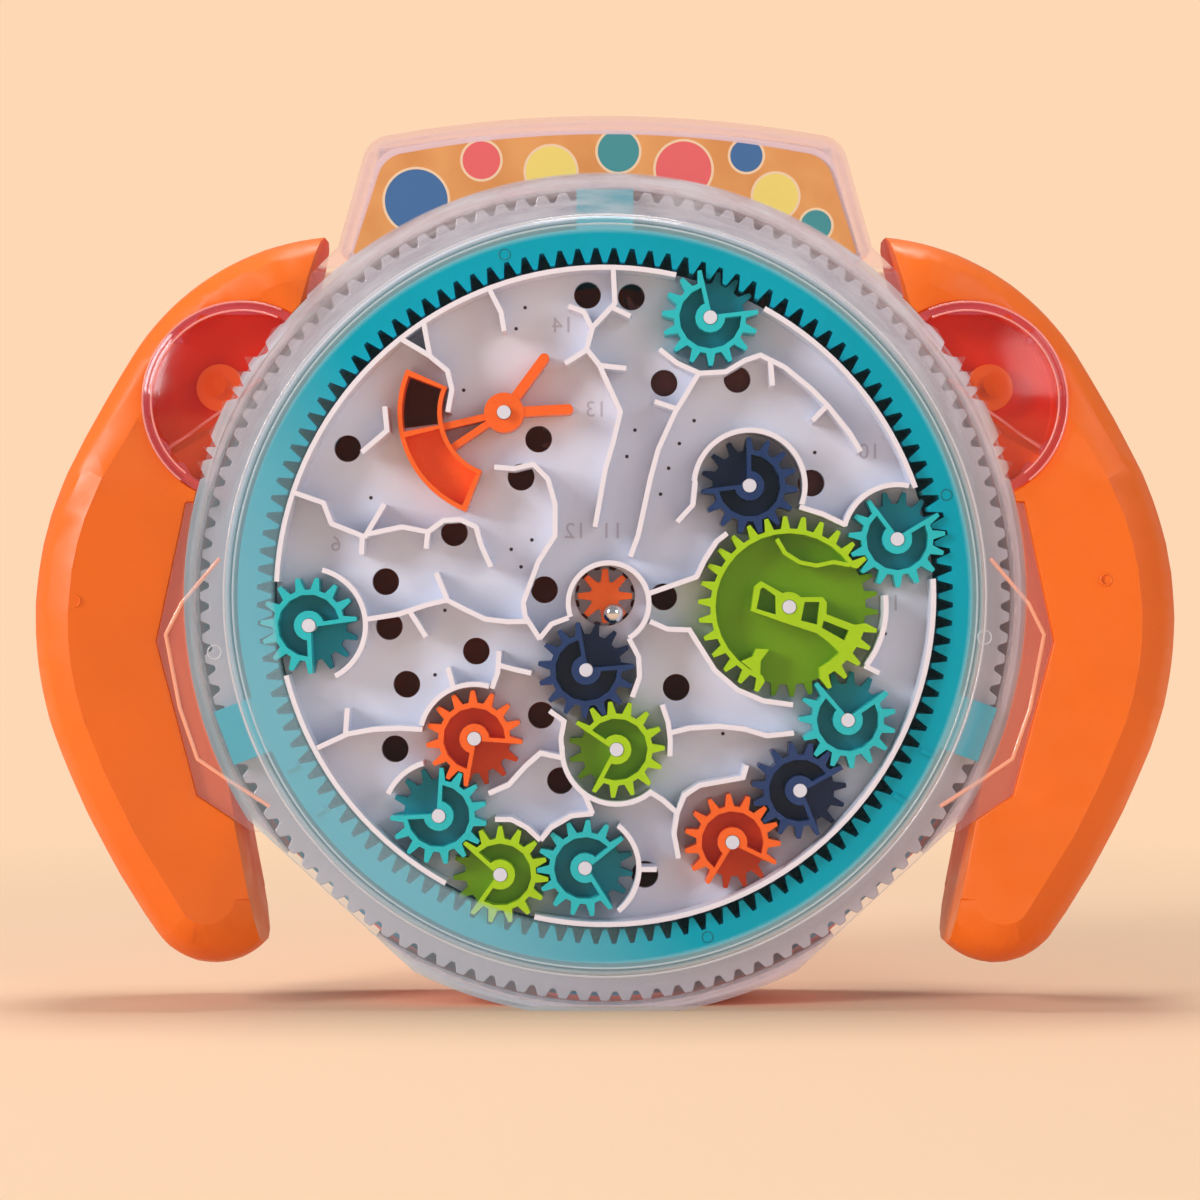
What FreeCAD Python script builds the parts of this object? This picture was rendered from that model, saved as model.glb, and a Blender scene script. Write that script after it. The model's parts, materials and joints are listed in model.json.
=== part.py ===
import FreeCAD, Part
import math
import os
from FreeCAD import Placement, Rotation, Vector

# Gear maze toy: a round sealed ball maze between two hand grips. The toy stands on the flat
# at the foot of its round case, front towards -Y. Heights are measured from the case's middle
# plane towards the front, so a height of 10 lies at y = -10. Millimetres throughout.

doc = FreeCAD.newDocument("gear_maze_toy")
sheet = doc.addObject("Spreadsheet::Sheet", "Sizes")

# A text that starts with = is worked out from the sizes above it
SIZES = [
    ("module_fine", 1.25), ("ring_teeth", 120), ("small_teeth", 15), ("large_teeth", 30),
    ("idler_teeth", 54), ("transfer_teeth", 12), ("star_points", 8),
    ("addendum_share", 1.0), ("dedendum_share", 1.2), ("tooth_thickness_share", 0.36),
    ("rear_gear_back", 2.0), ("rear_gear_thickness", 3.6),
    ("rear_gear_front", "=rear_gear_back + rear_gear_thickness"),
    ("board_lift", 0.8), ("board_back_height", "=rear_gear_front + board_lift"),
    ("board_thickness", 2.0), ("board_front_height", "=board_back_height + board_thickness"),
    ("gear_gap", 0.3), ("gear_web", 2.7), ("gear_back_height", "=board_front_height + gear_gap"),
    ("gear_web_height", "=gear_back_height + gear_web"),
    ("gear_front_layer", 4.4), ("gear_top_height", "=gear_web_height + gear_front_layer"),
    ("gear_rim", 1.0), ("hub_radius", 3.3), ("pocket_wall", 0.9),
    ("pin_radius", 1.5), ("pin_rise", 0.2), ("pin_top_height", "=gear_top_height + pin_rise"),
    ("running_clearance", 0.1), ("pin_seat", 0.2),
    ("wall_rise", 0.8), ("wall_top_height", "=gear_top_height + wall_rise"), ("wall_thickness", 1.1),
    ("window_play", 0.6), ("window_wall", 1.8), ("window_chamfer", 1.0),
    ("case_front_height", "=wall_top_height + window_play + window_wall"),
    ("case_back_depth", 19.0), ("parting_height", 9.0), ("cover_wall", 1.6),
    ("flange_drop", 3.5), ("flange_height", "=case_front_height - flange_drop"),
    ("case_wall", 2.4), ("back_wall", 2.0), ("back_chamfer", 3.0),
    ("ring_pitch_radius", "=module_fine * ring_teeth / 2"),
    ("ring_rim", 6.2), ("ring_outer_radius", "=ring_pitch_radius + ring_rim"),
    ("ring_root_share", 1.52), ("ring_tip_width", 0.24), ("ring_gap_width", 0.24),
    ("ring_behind", 0.4), ("ring_back_height", "=rear_gear_back - ring_behind"),
    ("ring_under_walls", 2.1), ("ring_front_height", "=wall_top_height - ring_under_walls"),
    ("ring_ridge", 0.7), ("ring_rib_width", 2.4), ("ring_rib_inset", 1.0), ("ring_gap", 0.3),
    ("finger_ring_step", 2.2), ("finger_ring_inner", "=ring_outer_radius + finger_ring_step"),
    ("finger_ring_band", 4.8), ("rim_tooth_height", 2.0),
    ("finger_ring_root", "=finger_ring_inner + finger_ring_band"),
    ("finger_ring_tip", "=finger_ring_root + rim_tooth_height"),
    ("finger_ring_back", 4.0), ("finger_ring_thickness", 6.0),
    ("finger_ring_front", "=finger_ring_back + finger_ring_thickness"),
    ("lug_gap", 0.2), ("lug_reach", "=finger_ring_tip - lug_gap"), ("lug_width", 12.6),
    ("lug_play", 0.5), ("lug_front_height", "=flange_height - cover_wall - lug_play"),
    ("case_radius", "=finger_ring_tip + ring_gap + case_wall"),
    ("foot_depth", 1.4), ("case_axis_height", "=case_radius - foot_depth"),
    ("finger_flat_depth", 3.4), ("finger_flat_distance", "=case_radius - finger_flat_depth"),
    ("finger_flat_angle", 42.5),
    ("window_clearance", 0.8), ("window_radius", "=ring_outer_radius + window_clearance"),
    ("side_plate_drop", 3.1), ("side_plate_back", "=flange_height - side_plate_drop"),
    ("side_plate_thickness", 2.0), ("side_gap", 0.3),
    ("grip_back_height", -15.0), ("grip_parting_height", 2.0), ("grip_lip", 1.6),
    ("grip_front_height", "=side_plate_back + grip_lip"),
    ("grip_gap", 0.4), ("grip_rounding", 10.0), ("grip_wall", 4.0), ("grip_end_wall", 4.0),
    ("ear_x", "=case_radius * 0.861"), ("ear_rise", "=case_radius * 0.462"), ("ear_radius", 22.1),
    ("ear_dome_height", 5.0), ("ear_wall", 1.8), ("ear_rib_width", 1.2),
    ("ear_floor_lift", 2.0), ("ear_floor_height", "=grip_parting_height + ear_floor_lift"),
    ("ear_screw_x", "=case_radius * 0.926"), ("ear_screw_rise", "=case_radius * 0.501"),
    ("ear_boss_radius", 5.3), ("ear_boss_lift", 3.0),
    ("ear_boss_height", "=ear_floor_height + ear_boss_lift"), ("ear_post_radius", 2.8),
    ("head_rise", 12.9), ("head_top", "=case_axis_height + case_radius + head_rise"),
    ("head_crown", 4.6), ("head_corner", 4.5), ("head_half_top", "=case_radius * 0.56"),
    ("head_drop", 16.4), ("head_foot", "=case_axis_height + case_radius - head_drop"),
    ("head_half_foot", "=case_radius * 0.635"), ("head_back_height", -1.0), ("head_wall", 1.8),
    ("head_plate", 2.4), ("card_gap", 0.05), ("card_thickness", 0.5), ("card_inset", 3.0),
    ("card_case_gap", 1.0),
    ("board_clearance", 0.55),
    ("board_radius", "=ring_pitch_radius - module_fine * addendum_share - board_clearance"),
    ("rim_wall_inset", 0.3), ("rim_wall_radius", "=board_radius - rim_wall_inset"),
    ("ball_hole_radius", 3.0), ("star_hole_radius", 6.7),
    ("star_tip_radius", 6.1), ("star_root_radius", 3.3), ("star_shaft_radius", 2.0),
    ("star_back", "=gear_back_height + running_clearance * 2"),
    ("star_front", "=gear_web_height - gear_gap"),
    ("shaft_foot", -9.0), ("post_radius", 4.5), ("post_gap", 0.3),
    ("ball_radius", 2.25), ("ball_x", "=module_fine * 1.44"), ("ball_z", "=module_fine * -3.08"),
    ("ball_height", "=gear_web_height + ball_radius"),
    ("gate_x", "=module_fine * -17.84"), ("gate_z", "=module_fine * 32.4"),
    ("gate_inner", "=module_fine * 10.96"), ("gate_outer", "=module_fine * 18.8"),
    ("gate_start", 156.0), ("gate_divide", 191.0), ("gate_end", 249.0), ("gate_wall", 1.0),
    ("gate_floor", 1.2), ("gate_drop", 0.6), ("gate_top_height", "=gear_top_height - gate_drop"),
    ("gate_strut_width", 1.5), ("gate_strut_drop", 1.0), ("gate_arm_drop", 0.6),
    ("gate_hub_radius", 4.4), ("gate_hub_drop", 0.4), ("gate_arm_width", 2.2),
    ("gate_window_gap", 0.7),
    ("screw_head_radius", 2.9), ("screw_head_height", 2.0), ("screw_shank_radius", 1.35),
    ("screw_clearance", 0.15), ("screw_recess", 6.0), ("screw_boss_radius", 4.0),
    ("screw_boss_root", 0.5), ("screw_bite", 4.7), ("tab_radius", 5.0), ("tab_thickness", 2.4),
    ("board_post_radius", 3.6), ("board_post_rib", 1.8),
    ("board_post_circle", "=ring_pitch_radius * 0.693"),
]


def cell_name(row):
    return "B%d" % (row + 1)


for row, (alias, value) in enumerate(SIZES):
    sheet.set("A%d" % (row + 1), alias)
    sheet.set(cell_name(row), str(value))
    sheet.setAlias(cell_name(row), alias)
doc.recompute()


def size(alias):
    """Value of one cell of the sheet."""
    return float(sheet.get(alias))


AXIS_X = 0.0
AXIS_Z = size("case_axis_height")
FRONT = Vector(0, -1, 0)
parts = []


# Flat outlines, in the plane y = 0

def spot(x, z):
    """A point of the middle plane, measured from the maze axis."""
    return Vector(AXIS_X + x, 0, AXIS_Z + z)


def polar(radius, degrees, x=0.0, z=0.0):
    """A point at a radius and angle about (x, z); angles run counter-clockwise from +X."""
    angle = math.radians(degrees)
    return (x + radius * math.cos(angle), z + radius * math.sin(angle))


def polygon(points):
    """Face of a closed polygon of (x, z) pairs measured from the maze axis."""
    corners = [spot(x, z) for x, z in points]
    return Part.Face(Part.makePolygon(corners + [corners[0]]))


def disc(radius, x=0.0, z=0.0):
    """Round face about (x, z)."""
    circle = Part.makeCircle(radius, spot(x, z), FRONT)
    return Part.Face(Part.Wire(circle))


def arc_edge(radius, start, end, x=0.0, z=0.0):
    """Arc from start to end through their mean angle."""
    middle = (start + end) / 2.0
    ends = [spot(*polar(radius, angle, x, z)) for angle in (start, middle, end)]
    return Part.Arc(*ends).toShape()


def line_edge(first, second):
    return Part.makeLine(spot(*first), spot(*second))


def band(radius, width, start, end, x=0.0, z=0.0):
    """Face of a curved wall of one width, centred on an arc."""
    inner = radius - width / 2.0
    outer = radius + width / 2.0
    edges = [
        arc_edge(outer, start, end, x, z),
        line_edge(polar(outer, end, x, z), polar(inner, end, x, z)),
        arc_edge(inner, end, start, x, z),
        line_edge(polar(inner, start, x, z), polar(outer, start, x, z)),
    ]
    return Part.Face(Part.Wire(edges))


def strip(points, width):
    """Face of a wall of one width along a run of straight stretches, mitred at the bends."""
    left = []
    right = []
    for number, (x, z) in enumerate(points):
        before = points[max(number - 1, 0)]
        after = points[min(number + 1, len(points) - 1)]
        first = unit(before, (x, z)) if number > 0 else unit((x, z), after)
        second = unit((x, z), after) if number < len(points) - 1 else first
        across = (-(first[1] + second[1]), first[0] + second[0])
        # the mitre is longer than half the width by the cosine of half the bend
        scale = width / (across[0] ** 2 + across[1] ** 2)
        left.append((x + across[0] * scale, z + across[1] * scale))
        right.append((x - across[0] * scale, z - across[1] * scale))
    return polygon(left + right[::-1])


def unit(start, end):
    """Direction from one point to another, of length one."""
    length = math.hypot(end[0] - start[0], end[1] - start[1])
    return ((end[0] - start[0]) / length, (end[1] - start[1]) / length)


def raised(face, low, high):
    """Solid that fills a face of the middle plane between two heights."""
    moved = face.copy()
    moved.translate(FRONT * low)
    return moved.extrude(FRONT * (high - low))


def fused(solids):
    """One solid of several that overlap."""
    whole = solids[0].fuse(solids[1:]) if len(solids) > 1 else solids[0]
    return whole.removeSplitter()


def keep(label, shape):
    """Sub-part held as one shape."""
    feature = doc.addObject("Part::Feature", label)
    feature.Label = label
    feature.Shape = shape
    feature.Placement = Placement()
    parts.append(feature)
    return feature


# Bodies made of sketches and pads

def new_body(label, x=0.0, z=0.0, turn=0.0):
    """Empty body that stands at (x, z) from the maze axis, turned about the front direction."""
    body = doc.addObject("PartDesign::Body", label)
    body.Label = label
    body.Placement = Placement(spot(x, z), Rotation(FRONT, turn))
    parts.append(body)
    return body


def add_sketch(body, height_rule, geometry):
    """Sketch on the body's front plane at the height that the rule gives."""
    sketch = body.newObject("Sketcher::SketchObject", body.Label + "_sketch")
    plane = [item for item in body.Origin.OriginFeatures if item.Role == "XZ_Plane"][0]
    sketch.AttachmentSupport = [(plane, "")]
    sketch.MapMode = "FlatFace"
    sketch.setExpression("AttachmentOffset.Base.z", height_rule)
    sketch.addGeometry(geometry, False)
    return sketch


def add_pad(body, height_rule, length_rule, geometry):
    """Pad of a new sketch towards the front."""
    sketch = add_sketch(body, height_rule, geometry)
    pad = body.newObject("PartDesign::Pad", body.Label + "_pad")
    pad.Profile = sketch
    pad.setExpression("Length", length_rule)
    body.Tip = pad
    return pad


def flat_point(pair):
    return Vector(pair[0], pair[1], 0)


def closed_lines(points):
    """Line segments round a closed polygon, in sketch coordinates."""
    ring = list(points) + [points[0]]
    pairs = zip(ring[:-1], ring[1:])
    return [Part.LineSegment(flat_point(a), flat_point(b)) for a, b in pairs]


def open_lines(points):
    pairs = zip(points[:-1], points[1:])
    return [Part.LineSegment(flat_point(a), flat_point(b)) for a, b in pairs]


def flat_circle(radius, x=0.0, z=0.0):
    return Part.Circle(Vector(x, z, 0), Vector(0, 0, 1), radius)


def flat_arc(radius, start, end):
    middle = (start + end) / 2.0
    marks = [flat_point(polar(radius, angle)) for angle in (start, middle, end)]
    return Part.Arc(*marks)


# Gear geometry

MODULE = size("module_fine")
SMALL = int(size("small_teeth"))
LARGE = int(size("large_teeth"))
RING = int(size("ring_teeth"))
IDLER = int(size("idler_teeth"))
TRANSFER = int(size("transfer_teeth"))


def pitch_radius(teeth):
    return MODULE * teeth / 2.0


def tip_radius(teeth):
    return pitch_radius(teeth) + MODULE * size("addendum_share")


def root_radius(teeth):
    return pitch_radius(teeth) - MODULE * size("dedendum_share")


def half_widths():
    """Half thickness of a tooth at its tip and at its root."""
    middle = math.pi * MODULE * size("tooth_thickness_share") / 2.0
    return (middle * 0.62, middle * 1.42)


def tooth_at(teeth, degrees):
    """Four corners of one tooth, counter-clockwise."""
    tip_half, root_half = half_widths()
    root = root_radius(teeth)
    tip = tip_radius(teeth)
    corners = [(root, -root_half), (tip, -tip_half), (tip, tip_half), (root, root_half)]
    return [polar(math.hypot(a, b), degrees + math.degrees(math.atan2(b, a))) for a, b in corners]


def gear_outline(teeth):
    """Corners of a whole gear with a tooth on +X."""
    points = []
    for number in range(teeth):
        points += tooth_at(teeth, number * 360.0 / teeth)
    return points


def beside(radius, side, degrees):
    """Point at a radius, set off sideways from a radial line."""
    along = math.sqrt(radius * radius - side * side)
    return polar(radius, degrees + math.degrees(math.atan2(side, along)))


def pocket_gear_top(teeth, missing, bore):
    """Upper layer of a carrier gear: a toothed rim round most of it, a hub collar, and two
    radial walls that leave a pocket where the teeth are missing. The pocket opens about +X."""
    pitch = 360.0 / teeth
    tip_half, root_half = half_widths()
    wall = size("pocket_wall") / 2.0
    tip = tip_radius(teeth)
    root = root_radius(teeth)
    rim = root - size("gear_rim")
    hub = size("hub_radius")
    first = pitch * (missing + 1) / 2.0
    last = 360.0 - first
    between = teeth - missing - 1
    outline = [beside(bore, -wall, first), beside(tip, -wall, first), beside(tip, tip_half, first)]
    outline.append(beside(root, root_half, first))
    for number in range(1, between):
        outline += tooth_at(teeth, first + number * pitch)
    outline += [beside(root, -root_half, last), beside(tip, -tip_half, last)]
    outline += [beside(tip, wall, last), beside(bore, wall, last)]
    geometry = open_lines(outline)
    swing = math.degrees(math.asin(wall / bore))
    geometry.append(flat_arc(bore, last + swing, first - swing))
    recess = [beside(rim, wall, first)]
    recess += [polar(rim, first + number * pitch) for number in range(1, between)]
    recess += [beside(rim, -wall, last), beside(hub, -wall, last)]
    recess += [polar(hub, last - number * pitch) for number in range(1, between)]
    recess.append(beside(hub, wall, first))
    return geometry + closed_lines(recess)


def mesh_turn(driver_teeth, driver_turn, driven_teeth, line_angle):
    """Turn of an outside gear that meshes with another along a line of centres."""
    driver_pitch = 360.0 / driver_teeth
    driven_pitch = 360.0 / driven_teeth
    share = (line_angle - driver_turn) / driver_pitch
    return line_angle + 180.0 - driven_pitch * (0.5 - share)


def mesh_turn_inside(ring_turn, driven_teeth, line_angle):
    """Turn of a gear that meshes inside the ring on the radius at an angle."""
    share = (line_angle - ring_turn) / (360.0 / RING)
    return line_angle - (360.0 / driven_teeth) * (share + 0.5)


def placed(driver, teeth, line_angle):
    """Centre and turn of a gear that meshes with an earlier one."""
    reach = pitch_radius(driver["teeth"]) + pitch_radius(teeth)
    x, z = polar(reach, line_angle, driver["x"], driver["z"])
    turn = mesh_turn(driver["teeth"], driver["turn"], teeth, line_angle)
    return {"x": x, "z": z, "turn": turn, "teeth": teeth}


def placed_inside(teeth, line_angle):
    """Centre and turn of a gear that runs on the ring's inner teeth."""
    reach = pitch_radius(RING) - pitch_radius(teeth)
    x, z = polar(reach, line_angle)
    turn = mesh_turn_inside(0.0, teeth, line_angle)
    return {"x": x, "z": z, "turn": turn, "teeth": teeth}


# Where the gears sit: four run on the ring, the others hang on them in chains
GEARS = {}
GEARS["gear_top_teal"] = placed_inside(SMALL, 69.3)
GEARS["gear_right_teal"] = placed_inside(SMALL, 11.0)
GEARS["gear_left_teal"] = placed_inside(SMALL, 185.7)
GEARS["gear_bottom_lime"] = placed_inside(SMALL, 249.4)
GEARS["gear_large_lime"] = placed(GEARS["gear_right_teal"], LARGE, 212.1)
GEARS["gear_upper_navy"] = placed(GEARS["gear_large_lime"], SMALL, 108.1)
GEARS["gear_lower_right_teal"] = placed(GEARS["gear_large_lime"], SMALL, 297.4)
GEARS["gear_lower_navy"] = placed(GEARS["gear_lower_right_teal"], SMALL, 235.7)
GEARS["gear_lower_orange"] = placed(GEARS["gear_lower_navy"], SMALL, 217.5)
GEARS["gear_lower_left_teal"] = placed(GEARS["gear_bottom_lime"], SMALL, 136.4)
GEARS["gear_left_orange"] = placed(GEARS["gear_lower_left_teal"], SMALL, 65.3)
GEARS["gear_bottom_teal"] = placed(GEARS["gear_bottom_lime"], SMALL, 4.4)

# Rear train behind the board: one wide idler joins the ring to the gear on the star's shaft
IDLER_GEAR = placed_inside(IDLER, 60.0)
STAR = placed(IDLER_GEAR, TRANSFER, 240.0)
GEARS["gear_centre_navy"] = placed(STAR, SMALL, 255.7)
GEARS["gear_centre_lime"] = placed(GEARS["gear_centre_navy"], SMALL, 291.0)

# Where each carrier gear's pocket opens at rest, read at the front
POCKETS = {
    "gear_top_teal": 60.0, "gear_right_teal": 78.0, "gear_left_teal": 310.0,
    "gear_bottom_lime": 178.0, "gear_upper_navy": 145.0, "gear_lower_right_teal": 72.0,
    "gear_lower_navy": 330.0, "gear_lower_orange": 295.0, "gear_lower_left_teal": 132.0,
    "gear_left_orange": 320.0, "gear_bottom_teal": 2.0, "gear_centre_navy": 45.0,
    "gear_centre_lime": 182.0,
}
MISSING_TEETH = 3

# The one carrier gear that is fixed to a turning axle
TURNING_GEAR = "gear_centre_navy"


def snapped(turn, teeth, wanted, missing):
    """Turn of a gear by whole teeth that brings its pocket nearest to a wanted direction."""
    pitch = 360.0 / teeth
    offset = 0.0 if missing % 2 else pitch / 2.0
    steps = round((wanted - turn - offset) / pitch)
    return turn + offset + steps * pitch


def add_small_gear(label):
    """Carrier gear of two layers: a full gear below and the open pocket gear above."""
    gear = GEARS[label]
    turn = snapped(gear["turn"], SMALL, POCKETS[label], MISSING_TEETH)
    body = new_body(label, gear["x"], gear["z"], turn)
    bore = size("pin_radius") + size("running_clearance")
    if label == TURNING_GEAR:
        bore = size("pin_radius")
    lower = closed_lines(gear_outline(SMALL)) + [flat_circle(bore)]
    add_pad(body, "Sizes.gear_back_height", "Sizes.gear_web", lower)
    teeth = pocket_gear_top(SMALL, MISSING_TEETH, bore)
    add_pad(body, "Sizes.gear_web_height", "Sizes.gear_front_layer", teeth)


# Large gear: corners of its raised frame measured from its own centre, in gear modules
LARGE_BAR = [
    (-6.72, -0.72), (-6.08, 3.68), (-4.96, 4.56), (-1.12, 2.4), (2.08, 1.68), (5.92, 1.76), (6.64, 0.8),
    (6.56, -1.28), (12.48, -3.52), (11.36, -6.08), (9.28, -8.48), (7.12, -6.32), (4.88, -4.64),
    (-0.56, -2.88),
]
LARGE_WINDOWS = [
    [(-5.76, -0.32), (-5.04, 3.2), (-4.48, 3.44), (-2.4, 1.92), (-2.32, -1.36)],
    [(2.72, 0.88), (5.36, 0.88), (4.96, -3.12), (2.08, -2.4)],
    [(6.08, -2.4), (10.56, -4.16), (9.76, -5.92), (5.76, -3.68)],
]
LARGE_LENS = [(-2.16, 12.0), (-0.72, 9.52), (1.92, 7.84), (4.88, 7.28), (7.84, 7.92), (10.72, 7.36)]
LARGE_NUB = [(-8.48, -9.6), (-6.4, -8.72), (-5.84, -7.36), (-3.52, -7.52), (-5.04, -9.52), (-5.12, -12.32)]
LARGE_RIM_START = 28.0
LARGE_RIM_TEETH = 19
LARGE_ARM_START = 292.0
LARGE_ARM_TEETH = 5


def moved(points, x, z):
    return [(x + a, z + b) for a, b in points]


def scaled(points, unit_length):
    """Points given in units of a length, in millimetres."""
    return [(a * unit_length, b * unit_length) for a, b in points]


def toothed_arc(start, teeth_shown, inner, x, z):
    """Sector of the large gear's toothed rim, from the first tooth to the last."""
    pitch = 360.0 / LARGE
    points = []
    for number in range(teeth_shown):
        points += tooth_at(LARGE, start + number * pitch)
    end = start + (teeth_shown - 1) * pitch
    back = [polar(inner, end - step * (end - start) / teeth_shown) for step in range(teeth_shown + 1)]
    return polygon(moved(points + back, x, z))


def add_large_gear():
    """Large carrier gear: a full gear below; above it a rim with two open stretches, a hub
    bar with windows, a lens-shaped pocket at the top and a stop at the lower left."""
    gear = GEARS["gear_large_lime"]
    x = gear["x"]
    z = gear["z"]
    pitch = 360.0 / LARGE
    back = size("gear_back_height")
    web = size("gear_web_height")
    top = size("gear_top_height")
    outline = [polar(math.hypot(a, b), gear["turn"] + math.degrees(math.atan2(b, a)))
               for a, b in gear_outline(LARGE)]
    lower = raised(polygon(moved(outline, x, z)), back, web)
    rim_inner = root_radius(LARGE) - size("gear_rim")
    first = gear["turn"] + pitch * round((LARGE_RIM_START - gear["turn"]) / pitch)
    arm = gear["turn"] + pitch * round((LARGE_ARM_START - gear["turn"]) / pitch)
    faces = [toothed_arc(first, LARGE_RIM_TEETH, rim_inner, x, z)]
    faces.append(toothed_arc(arm, LARGE_ARM_TEETH, rim_inner - MODULE, x, z))
    faces.append(polygon(moved(scaled(LARGE_BAR, MODULE), x, z)))
    faces.append(disc(size("hub_radius"), x, z))
    faces.append(strip(moved(scaled(LARGE_LENS, MODULE), x, z), size("pocket_wall")))
    faces.append(polygon(moved(scaled(LARGE_NUB, MODULE), x, z)))
    upper = fused([raised(face, web, top) for face in faces])
    for window in LARGE_WINDOWS:
        upper = upper.cut(raised(polygon(moved(scaled(window, MODULE), x, z)), web, top))
    bore = size("pin_radius") + size("running_clearance")
    whole = fused([lower, upper]).cut(raised(disc(bore, x, z), back, top))
    keep("gear_large_lime", whole)


def add_plain_gear(label, gear, teeth, bore):
    """Flat rear gear behind the board."""
    body = new_body(label, gear["x"], gear["z"], gear["turn"])
    geometry = closed_lines(gear_outline(teeth)) + [flat_circle(bore)]
    add_pad(body, "Sizes.rear_gear_back", "Sizes.rear_gear_thickness", geometry)


# Rings

LUG_ANGLES = [90.0, 200.5, 340.0]
RIDGE_ANGLES = [208.6, 216.9, 325.5, 334.0]

# Finger ring teeth: widths of a tip and of the gap between roots, as shares of the tooth pitch
FINGER_TIP = 0.38
FINGER_GAP = 0.2


def rim_outline(tip, root, tip_width, gap_width):
    """Teeth round a ring, blunt at their tips; widths at the tip and between the roots are
    shares of the tooth pitch."""
    pitch = 360.0 / RING
    points = []
    for number in range(RING):
        angle = number * pitch
        tip_half = pitch * tip_width / 2.0
        root_half = pitch * (1.0 - gap_width) / 2.0
        for radius, swing in ((root, -root_half), (tip, -tip_half), (tip, tip_half), (root, root_half)):
            points.append(polar(radius, angle + swing))
    return points


def add_drive_ring():
    """Ring gear with inward teeth, three bridging lugs and four raised ridges on its face."""
    body = new_body("drive_ring")
    tip = pitch_radius(RING) - MODULE * size("addendum_share")
    root = pitch_radius(RING) + MODULE * size("ring_root_share")
    teeth = rim_outline(tip, root, size("ring_tip_width"), size("ring_gap_width"))
    geometry = closed_lines(teeth) + [flat_circle(size("ring_outer_radius"))]
    length = "Sizes.ring_front_height - Sizes.ring_back_height"
    add_pad(body, "Sizes.ring_back_height", length, geometry)
    half = size("lug_width") / 2.0
    inner = size("ring_outer_radius") - size("ring_rib_inset")
    lugs = []
    for angle in LUG_ANGLES:
        corners = [(inner, -half), (size("lug_reach"), -half), (size("lug_reach"), half), (inner, half)]
        turned = [polar(math.hypot(a, b), angle + math.degrees(math.atan2(b, a))) for a, b in corners]
        lugs += closed_lines(turned)
    add_pad(body, "Sizes.finger_ring_front", "Sizes.lug_front_height - Sizes.finger_ring_front", lugs)
    ridges = []
    for angle in RIDGE_ANGLES:
        low = pitch_radius(RING) + MODULE * (size("ring_root_share") + 0.5)
        high = size("ring_outer_radius") - 0.8
        corners = [(low, -0.5), (high, -0.5), (high, 0.5), (low, 0.5)]
        turned = [polar(math.hypot(a, b), angle + math.degrees(math.atan2(b, a))) for a, b in corners]
        ridges += closed_lines(turned)
    add_pad(body, "Sizes.ring_front_height", "Sizes.ring_ridge", ridges)


def add_finger_ring():
    """Outer finger ring with outward teeth that show at the two flats of the case."""
    body = new_body("finger_ring")
    points = rim_outline(size("finger_ring_tip"), size("finger_ring_root"), FINGER_TIP, FINGER_GAP)
    geometry = closed_lines(points) + [flat_circle(size("finger_ring_inner"))]
    add_pad(body, "Sizes.finger_ring_back", "Sizes.finger_ring_thickness", geometry)


# Maze board, its plan in gear modules. Walls that follow a gear are arcs about it: gear,
# radius, start and end angle.
WELLS = [
    ("gear_upper_navy", 9.76, -20.0, 175.0), ("gear_right_teal", 9.60, 78.0, 166.0),
    ("gear_left_teal", 10.08, -62.0, 76.0), ("gear_left_orange", 9.60, 74.0, 166.0),
    ("gear_lower_left_teal", 9.68, 106.0, 156.0), ("gear_centre_lime", 9.60, 176.0, 311.0),
    ("gear_bottom_teal", 9.52, -52.0, 52.0), ("gear_large_lime", 17.04, -37.0, 7.0),
]
STAR_WELL = (0.64, -1.28, 7.12, -60.0, 200.0)
RIM_ARCS = [(77.5, 177.5), (194.0, 241.0), (257.6, 363.0), (19.2, 61.0)]

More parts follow.
